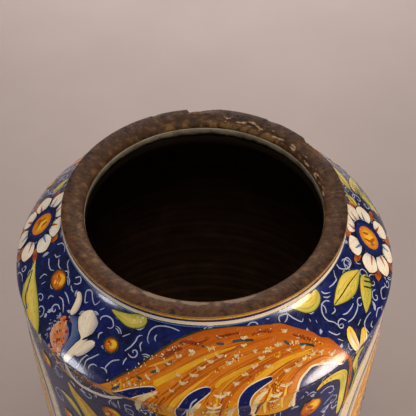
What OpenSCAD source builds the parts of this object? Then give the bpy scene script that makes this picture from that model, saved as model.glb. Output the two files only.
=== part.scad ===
// Wide-mouthed glazed earthenware jar: thrown clay sections luted together and coated with glaze.
// +Z is up, the foot stands on Z = 0 and the axis of the jar is the Z axis. Millimetres.

/* [Overall] */
// Height from the foot to the crown of the lip
jar_h = 286; // [270:1:320]

/* [Mouth] */
// Radius of the clear mouth
mouth_r = 51.4; // [46:0.1:54]
// Outer radius of the lip
lip_r = 61; // [60:0.1:64]
// Radius at which the lip is highest
lip_crown_r = 58.4; // [56:0.1:59]
// Fall of the lip from its crown to its outer edge
lip_fall_out = 1.1; // [0.6:0.1:2]
// Fall of the lip from its crown to its inner edge
lip_fall_in = 2.8; // [1.5:0.1:4]
// Length of the straight mouth below the lip's inner edge
mouth_len = 8.7; // [7:0.1:10]

/* [Shoulder] */
// Distance from the crown of the lip down to the start of the shoulder curve
neck_drop = 4; // [3:0.1:6]
// Distance from the crown of the lip down to the sharp ridge of the shoulder
ridge_drop = 31.3; // [28:0.1:34]
// Radius of the ridge
ridge_r = 83.2; // [82.5:0.1:86]

/* [Wall] */
// Outer radius of the wall just below the ridge
wall_top_r = 81.9; // [80:0.1:82.2]
// Outer radius of the wall at its waist
waist_r = 76.3; // [74:0.1:79]
// Height of the waist
waist_z = 110; // [95:1:130]
// Height of the joint between the two thrown halves of the wall
wall_joint_z = 142; // [120:1:170]
// Outer radius of the wall just above the lower ridge
wall_low_r = 79.6; // [78:0.1:80.2]
// Thickness of the clay wall
clay_t = 7.3; // [6:0.1:8.5]

/* [Base] */
// Radius of the lower ridge
low_ridge_r = 80.8; // [80.3:0.1:83]
// Height of the lower ridge
low_ridge_z = 34; // [30:0.5:38]
// Outer radius of the foot at the ground
foot_r = 64.5; // [63:0.1:67]
// Inner radius of the foot ring at the ground
foot_in_r = 51.5; // [48:0.1:53]
// Height of the foot ring
foot_h = 9; // [8.5:0.1:10]
// Thickness of the clay floor
floor_t = 9.5; // [8:0.1:11]

/* [Coats] */
// Thickness of a glaze coat
glaze_t = 0.5; // [0.4:0.1:0.8]
// Thickness of a luting slip
slip_t = 0.5; // [0.4:0.1:0.8]

/* [Chips] */
// Width of the chip at the back of the lip
chip_w = 14; // [6:0.5:18]
// Depth of that chip
chip_d = 1.7; // [0.8:0.1:2.2]

/* [Hidden] */
$fn = 96;
curve_n = 16;             // steps in a curved stretch of the profile
wall_n = 24;              // steps in the long wall
cove_n = 3;               // steps in the small cove under a ridge
same = 0.01;              // heights closer than this are one point of a profile

// Colours of the clay, the slip and the coats
clay_colour = "#8a5f3c";
stain_colour = "#5a4132";
slip_colour = "#a9805a";
inner_colour = "#15110d";
pale_colour = "#c9c2b4";
line_colour = "#ece3d0";
blue_colour = "#1c2a63";

// Heights along the outside
lip_edge_z = jar_h - lip_fall_out;
neck_r = lip_r - 0.2;
shoulder_z = jar_h - neck_drop;
ridge_z = jar_h - ridge_drop;
wall_top_z = ridge_z - 4.7;
wall_low_z = low_ridge_z + 4;
neck_band_z = shoulder_z - 2.5;
line_top_z = ridge_z + 1;
line_low_z = ridge_z - 1;
foot_joint_z = foot_h + slip_t;
foot_neck_r = foot_r - 2.3;

// Heights along the inside
lip_in_z = jar_h - lip_fall_in;
band_top_z = lip_in_z - 0.6;
band_low_z = band_top_z - 4.6;
mouth_low_z = lip_in_z - mouth_len;
floor_low_z = foot_h - 1;
floor_top_z = floor_low_z + floor_t;
wall_t = clay_t + 2 * glaze_t;
cavity_low_z = floor_top_z + glaze_t;
fillet_z = cavity_low_z + 24;

// Stepped joints: [height of the outer seat, drop to the inner seat, radius of the step]
lip_seat = [shoulder_z - 3.6, 3, (lip_r + mouth_r) / 2];
dome_seat = [ridge_z - 3.6, 3.5, wall_top_r - 0.55 * wall_t];
wall_seat = [wall_joint_z, 4, wall_r(wall_joint_z) - 0.5 * wall_t];
foot_step_r = foot_neck_r - 5.2;
disc_lip_r = foot_step_r - 3.5;
disc_lip_h = 5;

// Point at t on a cubic curve with ends a and d and handles b and c
function bez(a, b, c, d, t) =
    pow(1 - t, 3) * a + 3 * t * pow(1 - t, 2) * b + 3 * t * t * (1 - t) * c + t * t * t * d;
function curve(a, b, c, d, n) = [for (i = [0:n]) bez(a, b, c, d, i / n)];
// Quarter of an ellipse round a centre, from angle a0 to angle a1
function arc(centre, rx, ry, a0, a1, n) =
    [for (i = [0:n]) let (a = a0 + (a1 - a0) * i / n) centre + [rx * cos(a), ry * sin(a)]];
function reversed(p) = [for (i = [len(p) - 1:-1:0]) p[i]];
function unit(v) = v / norm(v);
// Direction of a profile at point i, and the profile moved by d towards the clay's inside
function along(p, i) = unit(p[min(i + 1, len(p) - 1)] - p[max(i - 1, 0)]);
function inset(p, d) = [for (i = [0:len(p) - 1]) let (t = along(p, i)) p[i] - d * [-t[1], t[0]]];
// Radius of a falling profile at height z, and the stretch of it between two heights
function r_at(p, z) = lookup(z, [for (q = p) [q[1], q[0]]]);
function stretch(p, z_hi, z_lo) = concat(
    [[r_at(p, z_hi), z_hi]],
    [for (q = p) if (q[1] < z_hi - same && q[1] > z_lo + same) q],
    [[r_at(p, z_lo), z_lo]]);
// Outer radius of the wall: a half wave above the waist and a shorter one below it
function wave(z, z_end, r_end) =
    waist_r + (r_end - waist_r) * (1 - cos(180 * (z - waist_z) / (z_end - waist_z))) / 2;
function wall_r(z) = z > waist_z ? wave(z, wall_top_z, wall_top_r) : wave(z, wall_low_z, wall_low_r);

// Outside of the glaze from the lip's outer edge down to the foot joint
skin = concat(
    [[lip_r, lip_edge_z]],
    curve([neck_r, shoulder_z], [neck_r, shoulder_z - 7.5], [ridge_r - 3.9, ridge_z + 10.9],
          [ridge_r, ridge_z], curve_n),
    [for (i = [1:cove_n - 1]) bez([ridge_r, ridge_z], [wall_top_r + 0.5, ridge_z - 0.8],
          [wall_top_r, ridge_z - 2], [wall_top_r, wall_top_z], i / cove_n)],
    [for (i = [0:wall_n]) let (z = wall_top_z + (wall_low_z - wall_top_z) * i / wall_n) [wall_r(z), z]],
    curve([low_ridge_r, low_ridge_z], [low_ridge_r - 0.3, low_ridge_z - 10],
          [foot_neck_r + 7.8, foot_joint_z + 3.5], [foot_neck_r, foot_joint_z], curve_n));
clay_skin = inset(skin, glaze_t);

// Face of the inner coats from the lip's inner edge down to the edge of the flat floor
cavity = concat(
    [[mouth_r, lip_in_z]],
    curve([mouth_r, mouth_low_z], [mouth_r, mouth_low_z - 4.5], [ridge_r - 11.2, ridge_z + 8.5],
          [wall_top_r - wall_t, wall_top_z + 1], curve_n),
    [for (i = [1:wall_n - 1]) let (z = wall_top_z + (fillet_z - wall_top_z) * i / wall_n)
        [wall_r(z) - wall_t, z]],
    curve([wall_r(fillet_z) - wall_t, fillet_z], [wall_r(fillet_z) - wall_t, fillet_z - 15],
          [foot_neck_r + 3.8, cavity_low_z], [foot_step_r - 2, cavity_low_z], curve_n));
cavity_clay = inset(cavity, -glaze_t);

// Solid of revolution of a profile polygon
module turned(points) rotate_extrude() polygon(points);

// Coat on the outside between two heights
module outer_coat(z_hi, z_lo)
    turned(concat(stretch(skin, z_hi, z_lo), reversed(stretch(clay_skin, z_hi, z_lo))));

// Lower end of the section above a joint, and upper end of the section below it
function end_above(seat) = [[seat[2], seat[0]], [seat[2], seat[0] - seat[1]]];
function end_below(seat) =
    [[seat[2] + slip_t, seat[0] - seat[1] - slip_t], [seat[2] + slip_t, seat[0] - slip_t]];
// Thin Z-section ring of slip in a stepped joint
module slip_ring(seat) {
    inner_z = seat[0] - seat[1];
    turned(concat(
        [[r_at(clay_skin, seat[0]), seat[0]]], end_above(seat),
        [[r_at(cavity_clay, inner_z), inner_z], [r_at(cavity_clay, inner_z - slip_t), inner_z - slip_t]],
        end_below(seat),
        [[r_at(clay_skin, seat[0] - slip_t), seat[0] - slip_t]]));
}
// Thrown section of clay between the joint above it and the joint below it
module section(above, below)
    turned(concat(
        stretch(clay_skin, above[0] - slip_t, below[0]),
        end_above(below),
        reversed(stretch(cavity_clay, above[0] - above[1] - slip_t, below[0] - below[1])),
        end_below(above)));

// Shallow round chip in the outer edge of the lip, at angle a, w wide and d deep
module chip(a, w, d) {
    chip_r = (w * w / 4 + d * d) / (2 * d);
    rotate([0, 0, a]) translate([lip_crown_r - 1, 0, jar_h - d + chip_r])
        rotate([0, 90, 0]) cylinder(r = chip_r, h = lip_r - lip_crown_r + 3);
}

module foot_ring() color(clay_colour)
    turned(concat(
        [[foot_neck_r - glaze_t, foot_h], [foot_neck_r, foot_h - 1.2]],
        curve([foot_neck_r, foot_h - 1.8], [foot_neck_r + 0.4, foot_h - 4], [foot_r, foot_h - 5],
              [foot_r, foot_h - 6.5], 6),
        arc([foot_r - 1.2, 1.2], 1.2, 1.2, 0, -90, 4),
        arc([foot_in_r + 0.8, 0.8], 0.8, 0.8, -90, -180, 4),
        [[foot_in_r - 1, floor_low_z - slip_t], [foot_step_r + slip_t, floor_low_z - slip_t],
         [foot_step_r + slip_t, foot_h]]));

module foot_luting_slip() color(slip_colour)
    turned([[foot_neck_r - glaze_t, foot_h], [foot_neck_r - glaze_t, foot_joint_z],
            [foot_step_r, foot_joint_z], [foot_step_r, floor_low_z],
            [foot_in_r - 1, floor_low_z], [foot_in_r - 1, floor_low_z - slip_t],
            [foot_step_r + slip_t, floor_low_z - slip_t], [foot_step_r + slip_t, foot_h]]);

module floor_disc() color(clay_colour)
    turned([[0, floor_low_z], [foot_step_r, floor_low_z], [foot_step_r, floor_low_z + disc_lip_h],
            [disc_lip_r, floor_low_z + disc_lip_h], [disc_lip_r, floor_top_z], [0, floor_top_z]]);

module floor_luting_slip() color(slip_colour)
    turned([[foot_step_r, foot_joint_z], [foot_step_r + slip_t, foot_joint_z],
            [foot_step_r + slip_t, floor_low_z + disc_lip_h + slip_t],
            [disc_lip_r + slip_t, floor_low_z + disc_lip_h + slip_t], [disc_lip_r + slip_t, floor_top_z],
            [disc_lip_r, floor_top_z], [disc_lip_r, floor_low_z + disc_lip_h],
            [foot_step_r, floor_low_z + disc_lip_h]]);

module lower_wall() color(clay_colour)
    turned(concat(
        stretch(clay_skin, wall_seat[0] - slip_t, foot_joint_z),
        [[foot_step_r + slip_t, foot_joint_z], [foot_step_r + slip_t, floor_low_z + disc_lip_h + slip_t],
         [disc_lip_r + slip_t, floor_low_z + disc_lip_h + slip_t], [disc_lip_r + slip_t, floor_top_z]],
        reversed(stretch(cavity_clay, wall_seat[0] - wall_seat[1] - slip_t, floor_top_z)),
        end_below(wall_seat)));

module wall_luting_slip() color(slip_colour) slip_ring(wall_seat);

module upper_wall() color(clay_colour) section(dome_seat, wall_seat);

module shoulder_luting_slip() color(slip_colour) slip_ring(dome_seat);

module shoulder_dome() color(clay_colour) section(lip_seat, dome_seat);

module lip_luting_slip() color(slip_colour) slip_ring(lip_seat);

module mouth_lip() color(stain_colour)
    difference() {
        turned(concat(
            arc([lip_crown_r, lip_in_z], lip_crown_r - mouth_r, lip_fall_in, 180, 90, 8),
            arc([lip_crown_r, lip_edge_z], lip_r - lip_crown_r, lip_fall_out, 80, 0, 5),
            stretch(clay_skin, lip_edge_z, lip_seat[0]),
            end_above(lip_seat),
            [[mouth_r + glaze_t, lip_seat[0] - lip_seat[1]], [mouth_r + glaze_t, band_top_z],
             [mouth_r, band_top_z]]));
        chip(90, chip_w, chip_d);
        chip(40, 0.8 * chip_w, 0.7 * chip_d);
    }

module inner_glaze() color(inner_colour)
    turned(concat(
        stretch(cavity, band_low_z, cavity_low_z), [[0, cavity_low_z], [0, floor_top_z]],
        reversed(stretch(cavity_clay, band_low_z, floor_top_z))));

module mouth_glaze_band() color(pale_colour)
    turned([[mouth_r, band_low_z], [mouth_r + glaze_t, band_low_z],
            [mouth_r + glaze_t, band_top_z], [mouth_r, band_top_z]]);

module neck_glaze_band() color(line_colour) outer_coat(lip_edge_z, neck_band_z);

module shoulder_glaze() color(blue_colour) outer_coat(neck_band_z, line_top_z);

module ridge_glaze_line() color(line_colour) outer_coat(line_top_z, line_low_z);

module wall_glaze() color(blue_colour) outer_coat(line_low_z, wall_low_z);

module base_glaze() color(line_colour) outer_coat(wall_low_z, foot_joint_z);

foot_ring();
foot_luting_slip();
floor_disc();
floor_luting_slip();
lower_wall();
wall_luting_slip();
upper_wall();
shoulder_luting_slip();
shoulder_dome();
lip_luting_slip();
mouth_lip();
inner_glaze();
mouth_glaze_band();
neck_glaze_band();
shoulder_glaze();
ridge_glaze_line();
wall_glaze();
base_glaze();
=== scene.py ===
"""Wide-mouthed painted jar: smooth glaze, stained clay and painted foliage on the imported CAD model.

The painting is placed in chart coordinates. A chart point is (a, s): a is the azimuth in degrees from
the front (-Y), positive towards +X, and s is the length in millimetres down the outside from the edge
of the lip. Each brush stroke is a thin closed solid that follows the glaze.
"""
import math
import random

import bmesh
import bpy
import numpy as np
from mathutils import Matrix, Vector, noise


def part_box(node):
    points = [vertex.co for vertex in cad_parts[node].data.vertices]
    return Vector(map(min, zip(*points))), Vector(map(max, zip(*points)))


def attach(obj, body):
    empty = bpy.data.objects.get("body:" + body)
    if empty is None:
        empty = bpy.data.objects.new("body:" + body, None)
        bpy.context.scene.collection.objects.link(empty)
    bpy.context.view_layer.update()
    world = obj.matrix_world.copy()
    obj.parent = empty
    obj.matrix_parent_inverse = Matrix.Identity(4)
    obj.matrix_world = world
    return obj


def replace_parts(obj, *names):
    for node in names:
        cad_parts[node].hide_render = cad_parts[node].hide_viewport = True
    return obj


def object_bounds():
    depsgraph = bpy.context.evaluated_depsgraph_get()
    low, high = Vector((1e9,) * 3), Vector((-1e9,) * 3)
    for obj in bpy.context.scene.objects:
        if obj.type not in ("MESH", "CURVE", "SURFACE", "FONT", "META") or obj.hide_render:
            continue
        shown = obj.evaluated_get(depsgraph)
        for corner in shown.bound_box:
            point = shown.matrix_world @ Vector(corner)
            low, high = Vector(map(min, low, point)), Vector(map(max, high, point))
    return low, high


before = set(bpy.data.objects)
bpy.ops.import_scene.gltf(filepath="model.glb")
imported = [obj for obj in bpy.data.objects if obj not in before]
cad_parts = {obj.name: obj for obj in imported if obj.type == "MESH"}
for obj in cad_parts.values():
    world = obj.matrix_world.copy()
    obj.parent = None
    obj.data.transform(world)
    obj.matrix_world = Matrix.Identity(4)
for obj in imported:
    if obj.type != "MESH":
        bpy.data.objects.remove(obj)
CAD_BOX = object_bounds()
MM = 0.001

# ---------------------------------------------------------------- sizes of the jar, in millimetres
GLAZE_T = 0.5  # thickness of a glaze coat
PAINT_T = 0.1  # room left over the ridge, so that the paint on it stays inside the CAD box
JAR_H = CAD_BOX[1].z / MM
LIP_R = 61.0
CROWN_R = 58.4  # where the lip is highest
FALL_OUT = 1.1  # from the crown to the outer edge of the CAD lip
WORN_FALL = 0.4  # the same on the visual lip, whose outer edge stands higher
FALL_IN = 2.8  # from the crown to the inner edge
MOUTH_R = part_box("mouth_glaze_band")[1].x / MM - GLAZE_T
MOUTH_LEN = 8.7
NECK_DROP = 4
SHOULDER_Z = JAR_H - NECK_DROP
RIDGE_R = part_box("ridge_glaze_line")[1].x / MM - PAINT_T
RIDGE_Z = (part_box("ridge_glaze_line")[0].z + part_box("ridge_glaze_line")[1].z) / MM / 2
WALL_TOP_R = 81.9
WALL_TOP_DROP = 4.7  # from the ridge down to the plain wall
WALL_TOP_Z = RIDGE_Z - WALL_TOP_DROP
WAIST_R = 76.3
WAIST_Z = 110.0
WALL_LOW_R = 79.6
WALL_LOW_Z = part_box("wall_glaze")[0].z / MM
LOW_RIDGE_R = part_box("base_glaze")[1].x / MM
LOW_RIDGE_DROP = 4
LOW_RIDGE_Z = WALL_LOW_Z - LOW_RIDGE_DROP
FOOT_NECK_R = 62.2
FOOT_JOINT_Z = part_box("base_glaze")[0].z / MM
FLOOR_FLAT_R = FOOT_NECK_R - 7.2
WALL_T = 8.3  # the clay and a coat on each side
FLOOR_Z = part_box("inner_glaze")[0].z / MM + GLAZE_T
LIP_IN_Z = JAR_H - FALL_IN
BAND_TOP_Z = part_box("mouth_glaze_band")[1].z / MM
BAND_LOW_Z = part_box("mouth_glaze_band")[0].z / MM

STEP = 0.25  # chart step of the skin, in millimetres
SEGMENTS = 480  # sections round a turned coat


# ---------------------------------------------------------------- profiles
def bezier(a, b, c, d, count):
    """Points on a cubic curve, ends included."""
    points = []
    for i in range(count + 1):
        t = i / count
        weights = ((1 - t) ** 3, 3 * t * (1 - t) ** 2, 3 * t * t * (1 - t), t ** 3)
        points.append(tuple(sum(w * p[k] for w, p in zip(weights, (a, b, c, d))) for k in (0, 1)))
    return points


def half_wave(z, end_z, end_r):
    """Radius that swells softly from the waist to end_r at height end_z."""
    return WAIST_R + (end_r - WAIST_R) * (1 - math.cos(math.pi * (z - WAIST_Z) / (end_z - WAIST_Z))) / 2


def wall_r(z):
    """Outer radius of the wall at height z."""
    if z > WAIST_Z:
        return half_wave(z, WALL_TOP_Z, WALL_TOP_R)
    return half_wave(z, WALL_LOW_Z, WALL_LOW_R)


def wall_points(top, low, inset, count):
    """Points down the wall, inset from its outside."""
    heights = [top + (low - top) * i / count for i in range(count + 1)]
    return [(wall_r(z) - inset, z) for z in heights]


def resample(points, step):
    """Points at even distances along a polyline."""
    p = np.array(points)
    lengths = np.concatenate(([0.0], np.cumsum(np.hypot(*np.diff(p, axis=0).T))))
    count = max(2, round(lengths[-1] / step))
    at = np.linspace(0.0, lengths[-1], count + 1)
    return np.column_stack((np.interp(at, lengths, p[:, 0]), np.interp(at, lengths, p[:, 1])))


def softened(points, passes):
    """The same polyline with its sharp corners rounded; its ends stay."""
    p = points.copy()
    for _ in range(passes):
        p[1:-1] = (p[:-2] + 2 * p[1:-1] + p[2:]) / 4
    return p


def outer_profile():
    """Outside of the glaze from the edge of the lip to the foot."""
    points = [(LIP_R, JAR_H - FALL_OUT)]
    points += bezier((LIP_R - 0.2, SHOULDER_Z), (LIP_R - 0.2, SHOULDER_Z - 7.5),
                     (RIDGE_R - 3.9, RIDGE_Z + 10.9), (RIDGE_R, RIDGE_Z), 120)
    points += bezier((RIDGE_R, RIDGE_Z), (WALL_TOP_R + 0.5, RIDGE_Z - 0.8),
                     (WALL_TOP_R, RIDGE_Z - 2), (WALL_TOP_R, WALL_TOP_Z), 20)[1:]
    points += wall_points(WALL_TOP_Z, WALL_LOW_Z, 0, 200)[1:]
    points += bezier((LOW_RIDGE_R, LOW_RIDGE_Z), (LOW_RIDGE_R - 0.3, LOW_RIDGE_Z - 10),
                     (FOOT_NECK_R + 7.8, FOOT_JOINT_Z + 3.5), (FOOT_NECK_R, FOOT_JOINT_Z), 60)
    return softened(resample(points, STEP), 6)


def inner_profile():
    """Face of the inner glaze from the lip's inner edge to the middle of the floor."""
    fillet_z = FLOOR_Z + 24
    mouth_z = LIP_IN_Z - MOUTH_LEN
    points = [(MOUTH_R, LIP_IN_Z)]
    points += bezier((MOUTH_R, mouth_z), (MOUTH_R, mouth_z - 4.5), (RIDGE_R - 11.2, RIDGE_Z + 8.5),
                     (WALL_TOP_R - WALL_T, WALL_TOP_Z + 1), 40)
    points += wall_points(WALL_TOP_Z, fillet_z, WALL_T, 100)[1:]
    corner_r = wall_r(fillet_z) - WALL_T
    points += bezier((corner_r, fillet_z), (corner_r, fillet_z - 15), (FOOT_NECK_R + 3.8, FLOOR_Z),
                     (FLOOR_FLAT_R, FLOOR_Z), 30)[1:]
    points += [(FLOOR_FLAT_R - 5 * i, FLOOR_Z) for i in range(1, 11)]
    return softened(resample(points, 1.0), 1)


SKIN = outer_profile()
SKIN_S = np.arange(len(SKIN)) * STEP
TANGENT = np.gradient(SKIN, axis=0)
TANGENT /= np.hypot(TANGENT[:, 0], TANGENT[:, 1])[:, None]
NORMAL = np.column_stack((-TANGENT[:, 1], TANGENT[:, 0]))


def skin_radius(s):
    """Outer radius at chart length s."""
    return float(np.interp(s, SKIN_S, SKIN[:, 0]))


def skin_s(z):
    """Chart length at height z."""
    return float(np.interp(-z, -SKIN[:, 1], SKIN_S))


def place(a, s, lift):
    """Points in metres for arrays of chart points, lifted off the glaze by lift millimetres."""
    r = np.interp(s, SKIN_S, SKIN[:, 0]) + lift * np.interp(s, SKIN_S, NORMAL[:, 0])
    z = np.interp(s, SKIN_S, SKIN[:, 1]) + lift * np.interp(s, SKIN_S, NORMAL[:, 1])
    angle = np.radians(a)
    return np.column_stack((r * np.sin(angle), -r * np.cos(angle), z)) * MM


# ---------------------------------------------------------------- colours
def rgb(red, green, blue):
    """Linear colour from the usual 0 to 255 steps."""
    steps = [c / 255 for c in (red, green, blue)]
    return tuple(c / 12.92 if c < 0.04045 else ((c + 0.055) / 1.055) ** 2.4 for c in steps)


def blend(c1, c2, t):
    """Colour at the share t of the way from c1 to c2."""
    t = min(max(t, 0.0), 1.0)
    return tuple(p + (q - p) * t for p, q in zip(c1, c2))


def along(*colours):
    """Colour that runs through the given ones from one end of a stroke to the other."""
    def pick(u, v):
        x = min(max(u, 0.0), 0.9999) * (len(colours) - 1)
        return blend(colours[int(x)], colours[int(x) + 1], x - int(x))
    return pick


def across(*colours):
    """Colour that runs through the given ones from one side of a stroke to the other."""
    ramp = along(*colours)
    return lambda u, v: ramp((v + 1) / 2, 0)


CREAM = rgb(232, 212, 176)
WHITE = rgb(236, 226, 204)
YELLOW = rgb(236, 182, 44)
LEMON = rgb(226, 202, 92)
OCHRE = rgb(208, 142, 22)
ORANGE = rgb(202, 106, 8)
RUST = rgb(140, 56, 6)
UMBER = rgb(84, 36, 12)
LEAF = rgb(176, 170, 66)
MOSS = rgb(96, 108, 44)
OLIVE = rgb(56, 56, 26)
TEAL = rgb(44, 92, 120)
SKY = rgb(84, 116, 168)
INK = rgb(8, 12, 40)
COBALT = rgb(14, 24, 84)
PINK = rgb(206, 124, 76)
LILAC = rgb(150, 150, 172)
CURL = rgb(172, 178, 200)
DEEP_BLUE = rgb(16, 32, 100)
TAN = rgb(214, 188, 132)
DAB = rgb(204, 152, 88)


# ---------------------------------------------------------------- materials
class Graph:
    """A material with a few short ways to add nodes."""

    def __init__(self, name, roughness, specular=0.5, coat=0.0, coat_roughness=0.08):
        self.material = bpy.data.materials.new(name)
        self.material.use_nodes = True
        self.tree = self.material.node_tree
        self.shader = self.tree.nodes["Principled BSDF"]
        self.shader.inputs["Roughness"].default_value = roughness
        self.shader.inputs["Specular IOR Level"].default_value = specular
        self.shader.inputs["Coat Weight"].default_value = coat
        self.shader.inputs["Coat Roughness"].default_value = coat_roughness

    def put(self, value, socket):
        """Links a socket, or sets a constant on it."""
        if isinstance(value, bpy.types.NodeSocket):
            self.tree.links.new(value, socket)
        elif isinstance(value, tuple) and socket.type == "RGBA":
            socket.default_value = (*value, 1.0)
        else:
            socket.default_value = value

    def add(self, kind, out=0, settings=None, **inputs):
        """New node with its inputs set; returns one of its outputs."""
        node = self.tree.nodes.new(kind)
        for key, value in (settings or {}).items():
            setattr(node, key, value)
        for key, value in inputs.items():
            self.put(value, node.inputs[key.replace("_", " ")])
        return node.outputs[out]

    def place(self):
        return self.add("ShaderNodeTexCoord", out="Object")

    def height(self):
        """Height above the ground, in metres."""
        return self.add("ShaderNodeSeparateXYZ", out=2, Vector=self.place())

    def attribute(self, name, out="Color"):
        return self.add("ShaderNodeAttribute", out=out, settings={"attribute_name": name})

    def noise(self, scale, detail=4.0, rough=0.6, vector=None, distortion=0.0):
        return self.add("ShaderNodeTexNoise", Vector=vector or self.place(), Scale=scale, Detail=detail,
                        Roughness=rough, Distortion=distortion)

    def cells(self, scale, vector=None):
        return self.add("ShaderNodeTexVoronoi", Vector=vector or self.place(), Scale=scale)

    def window(self, value, low, high, to_low=0.0, to_high=1.0):
        return self.add("ShaderNodeMapRange", Value=value, From_Min=low, From_Max=high, To_Min=to_low,
                        To_Max=to_high)

    def pits(self, scale, low, high, share):
        """Small specks: share at the middle of each, nothing at its edge."""
        return self.window(self.cells(scale), low, high, share, 0.0)

    def math(self, operation, x, y):
        node = self.tree.nodes.new("ShaderNodeMath")
        node.operation = operation
        self.put(x, node.inputs[0])
        self.put(y, node.inputs[1])
        return node.outputs[0]

    def mix(self, factor, first, second, kind="MIX"):
        node = self.tree.nodes.new("ShaderNodeMix")
        node.data_type = "RGBA"
        node.blend_type = kind
        self.put(factor, node.inputs[0])
        self.put(first, node.inputs[6])
        self.put(second, node.inputs[7])
        return node.outputs[2]

    def tinted(self, colour, factors):
        """The colour multiplied by a factor for each channel."""
        return self.mix(1.0, colour, factors, "MULTIPLY")

    def stretch(self, vector, x, y, z):
        return self.add("ShaderNodeMapping", Vector=vector, Scale=(x, y, z))

    def bump(self, height, strength, distance):
        normal = self.add("ShaderNodeBump", Height=height, Strength=strength, Distance=distance)
        self.put(normal, self.shader.inputs["Normal"])

    def soft_bump(self, strength):
        """Slight unevenness of a glaze."""
        self.bump(self.noise(700, 3, 0.5), strength, 0.0004)

    def finish(self, colour, roughness=None):
        self.put(colour, self.shader.inputs["Base Color"])
        if roughness is not None:
            self.put(roughness, self.shader.inputs["Roughness"])
        return self.material


def ground_material():
    """Cobalt ground: brushed on unevenly, so it runs from near black to clear blue."""
    g = Graph("cobalt_ground", 0.24, specular=0.4, coat=0.3, coat_roughness=0.06)
    cloud = g.window(g.noise(55, 5, 0.65), 0.36, 0.66)
    brush = g.window(g.noise(260, 4, 0.7, distortion=1.2), 0.42, 0.74)
    colour = g.mix(cloud, rgb(5, 7, 32), rgb(12, 21, 82))
    colour = g.mix(g.math("MULTIPLY", brush, 0.6), colour, rgb(24, 42, 118))
    pits = g.pits(420, 0.05, 0.12, 0.75)
    colour = g.mix(pits, colour, rgb(4, 4, 12))
    g.soft_bump(0.10)
    return g.finish(colour, g.window(g.noise(300, 4, 0.6), 0.3, 0.7, 0.17, 0.32))


def ridge_material():
    """Ground that breaks to a thin pale line along the sharp ridge, partly a painted highlight on the edge.
    """
    g = Graph("ridge_glaze", 0.24, specular=0.4, coat=0.3, coat_roughness=0.06)
    height = g.height()
    off = g.math("ABSOLUTE", g.math("SUBTRACT", height, RIDGE_Z * MM - 0.0001), 0.0)
    # The pale line is glaze worn thin on the edge and, in part, a painted highlight along it.
    line = g.window(off, 0.00015, 0.0005, 1.0, 0.0)
    wear_and_glint = g.window(g.noise(120, 5, 0.7), 0.40, 0.60)
    factor = g.math("MULTIPLY", line, g.math("MULTIPLY", wear_and_glint, 0.8))
    ground = g.mix(g.window(g.noise(200, 4), 0.35, 0.65), rgb(11, 16, 58), rgb(24, 38, 116))
    g.soft_bump(0.10)
    return g.finish(g.mix(factor, ground, rgb(196, 178, 150)))


def enamel_material():
    """Brush strokes: the paint pools in streaks along each stroke and thins in places."""
    g = Graph("painted_enamel", 0.24, specular=0.4, coat=0.3, coat_roughness=0.06)
    paint = g.attribute("paint")
    brush = g.attribute("brush", out="Vector")
    streak = g.window(g.noise(1.0, 3, 0.6, g.stretch(brush, 0.16, 1.5, 1.0), 0.4), 0.30, 0.72)
    colour = g.mix(g.math("MULTIPLY", streak, 0.42), paint, g.tinted(paint, (0.52, 0.42, 0.34)))
    pool = g.window(g.noise(330, 5, 0.7), 0.56, 0.78, 0.0, 0.5)
    colour = g.mix(pool, colour, g.tinted(paint, (0.45, 0.36, 0.32)))
    light = g.window(g.noise(520, 3, 0.6), 0.60, 0.80, 0.0, 0.35)
    colour = g.mix(light, colour, g.mix(0.5, paint, CREAM))
    pits = g.pits(380, 0.04, 0.10, 0.7)
    colour = g.mix(pits, colour, rgb(38, 26, 20))
    g.soft_bump(0.10)
    return g.finish(colour, g.window(g.noise(300, 4, 0.6), 0.3, 0.7, 0.16, 0.30))


def pale_material():
    """Tin glaze, cream white, a little crazed and stained."""
    g = Graph("tin_glaze", 0.24, coat=0.4, coat_roughness=0.08)
    tone = g.mix(g.window(g.noise(90, 5, 0.65), 0.35, 0.68), rgb(206, 190, 160), rgb(172, 150, 118))
    stain = g.window(g.noise(240, 5, 0.7), 0.56, 0.72, 0.0, 0.8)
    tone = g.mix(stain, tone, rgb(104, 74, 48))
    specks = g.pits(500, 0.06, 0.14, 0.7)
    g.soft_bump(0.12)
    return g.finish(g.mix(specks, tone, rgb(54, 36, 24)))


def mouth_band_material():
    """Thin tin glaze under the lip, which fades downwards into the dark inside, deepened by painted shade."""
    g = Graph("mouth_band_glaze", 0.34, coat=0.2)
    height = g.height()
    wander = g.math("MULTIPLY", g.math("SUBTRACT", g.noise(160, 5, 0.7), 0.5), 0.004)
    # Painted shade with the fade: the band darkens downwards to near black, below the tone of the inside
    # glaze.
    fade = g.window(g.math("ADD", height, wander), (BAND_LOW_Z + 1.0) * MM, (BAND_TOP_Z - 1.0) * MM)
    tone = g.mix(g.window(g.noise(90, 5, 0.65), 0.35, 0.68), rgb(212, 196, 168), rgb(172, 154, 126))
    stain = g.window(g.noise(300, 5, 0.7), 0.56, 0.72, 0.0, 0.8)
    tone = g.mix(stain, tone, rgb(96, 66, 40))
    g.soft_bump(0.2)
    return g.finish(g.mix(fade, rgb(20, 12, 7), tone))


def inner_material():
    """Very dark brown glaze of the inside, darkest near the mouth from painted shade, worn dull along the
    throwing rings.
    """
    g = Graph("dark_inner_glaze", 0.36, specular=0.35)
    rings = g.noise(1.0, 3, 0.5, g.stretch(g.place(), 12, 12, 420))
    tone = g.mix(g.window(rings, 0.4, 0.7), rgb(50, 30, 17), rgb(62, 41, 27))
    tone = g.mix(g.window(g.noise(70, 5, 0.6), 0.5, 0.75), tone, rgb(74, 51, 35))
    height = g.height()
    # Painted shade: the inside is darkened towards the mouth, under the lip.
    painted_mouth_shade = g.window(height, (BAND_LOW_Z - 22) * MM, (BAND_LOW_Z - 3) * MM)
    tone = g.mix(painted_mouth_shade, tone, rgb(42, 30, 20))
    g.bump(g.noise(420, 4, 0.6), 0.25, 0.0005)
    return g.finish(tone, g.window(g.noise(50, 4), 0.3, 0.7, 0.30, 0.52))


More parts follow.
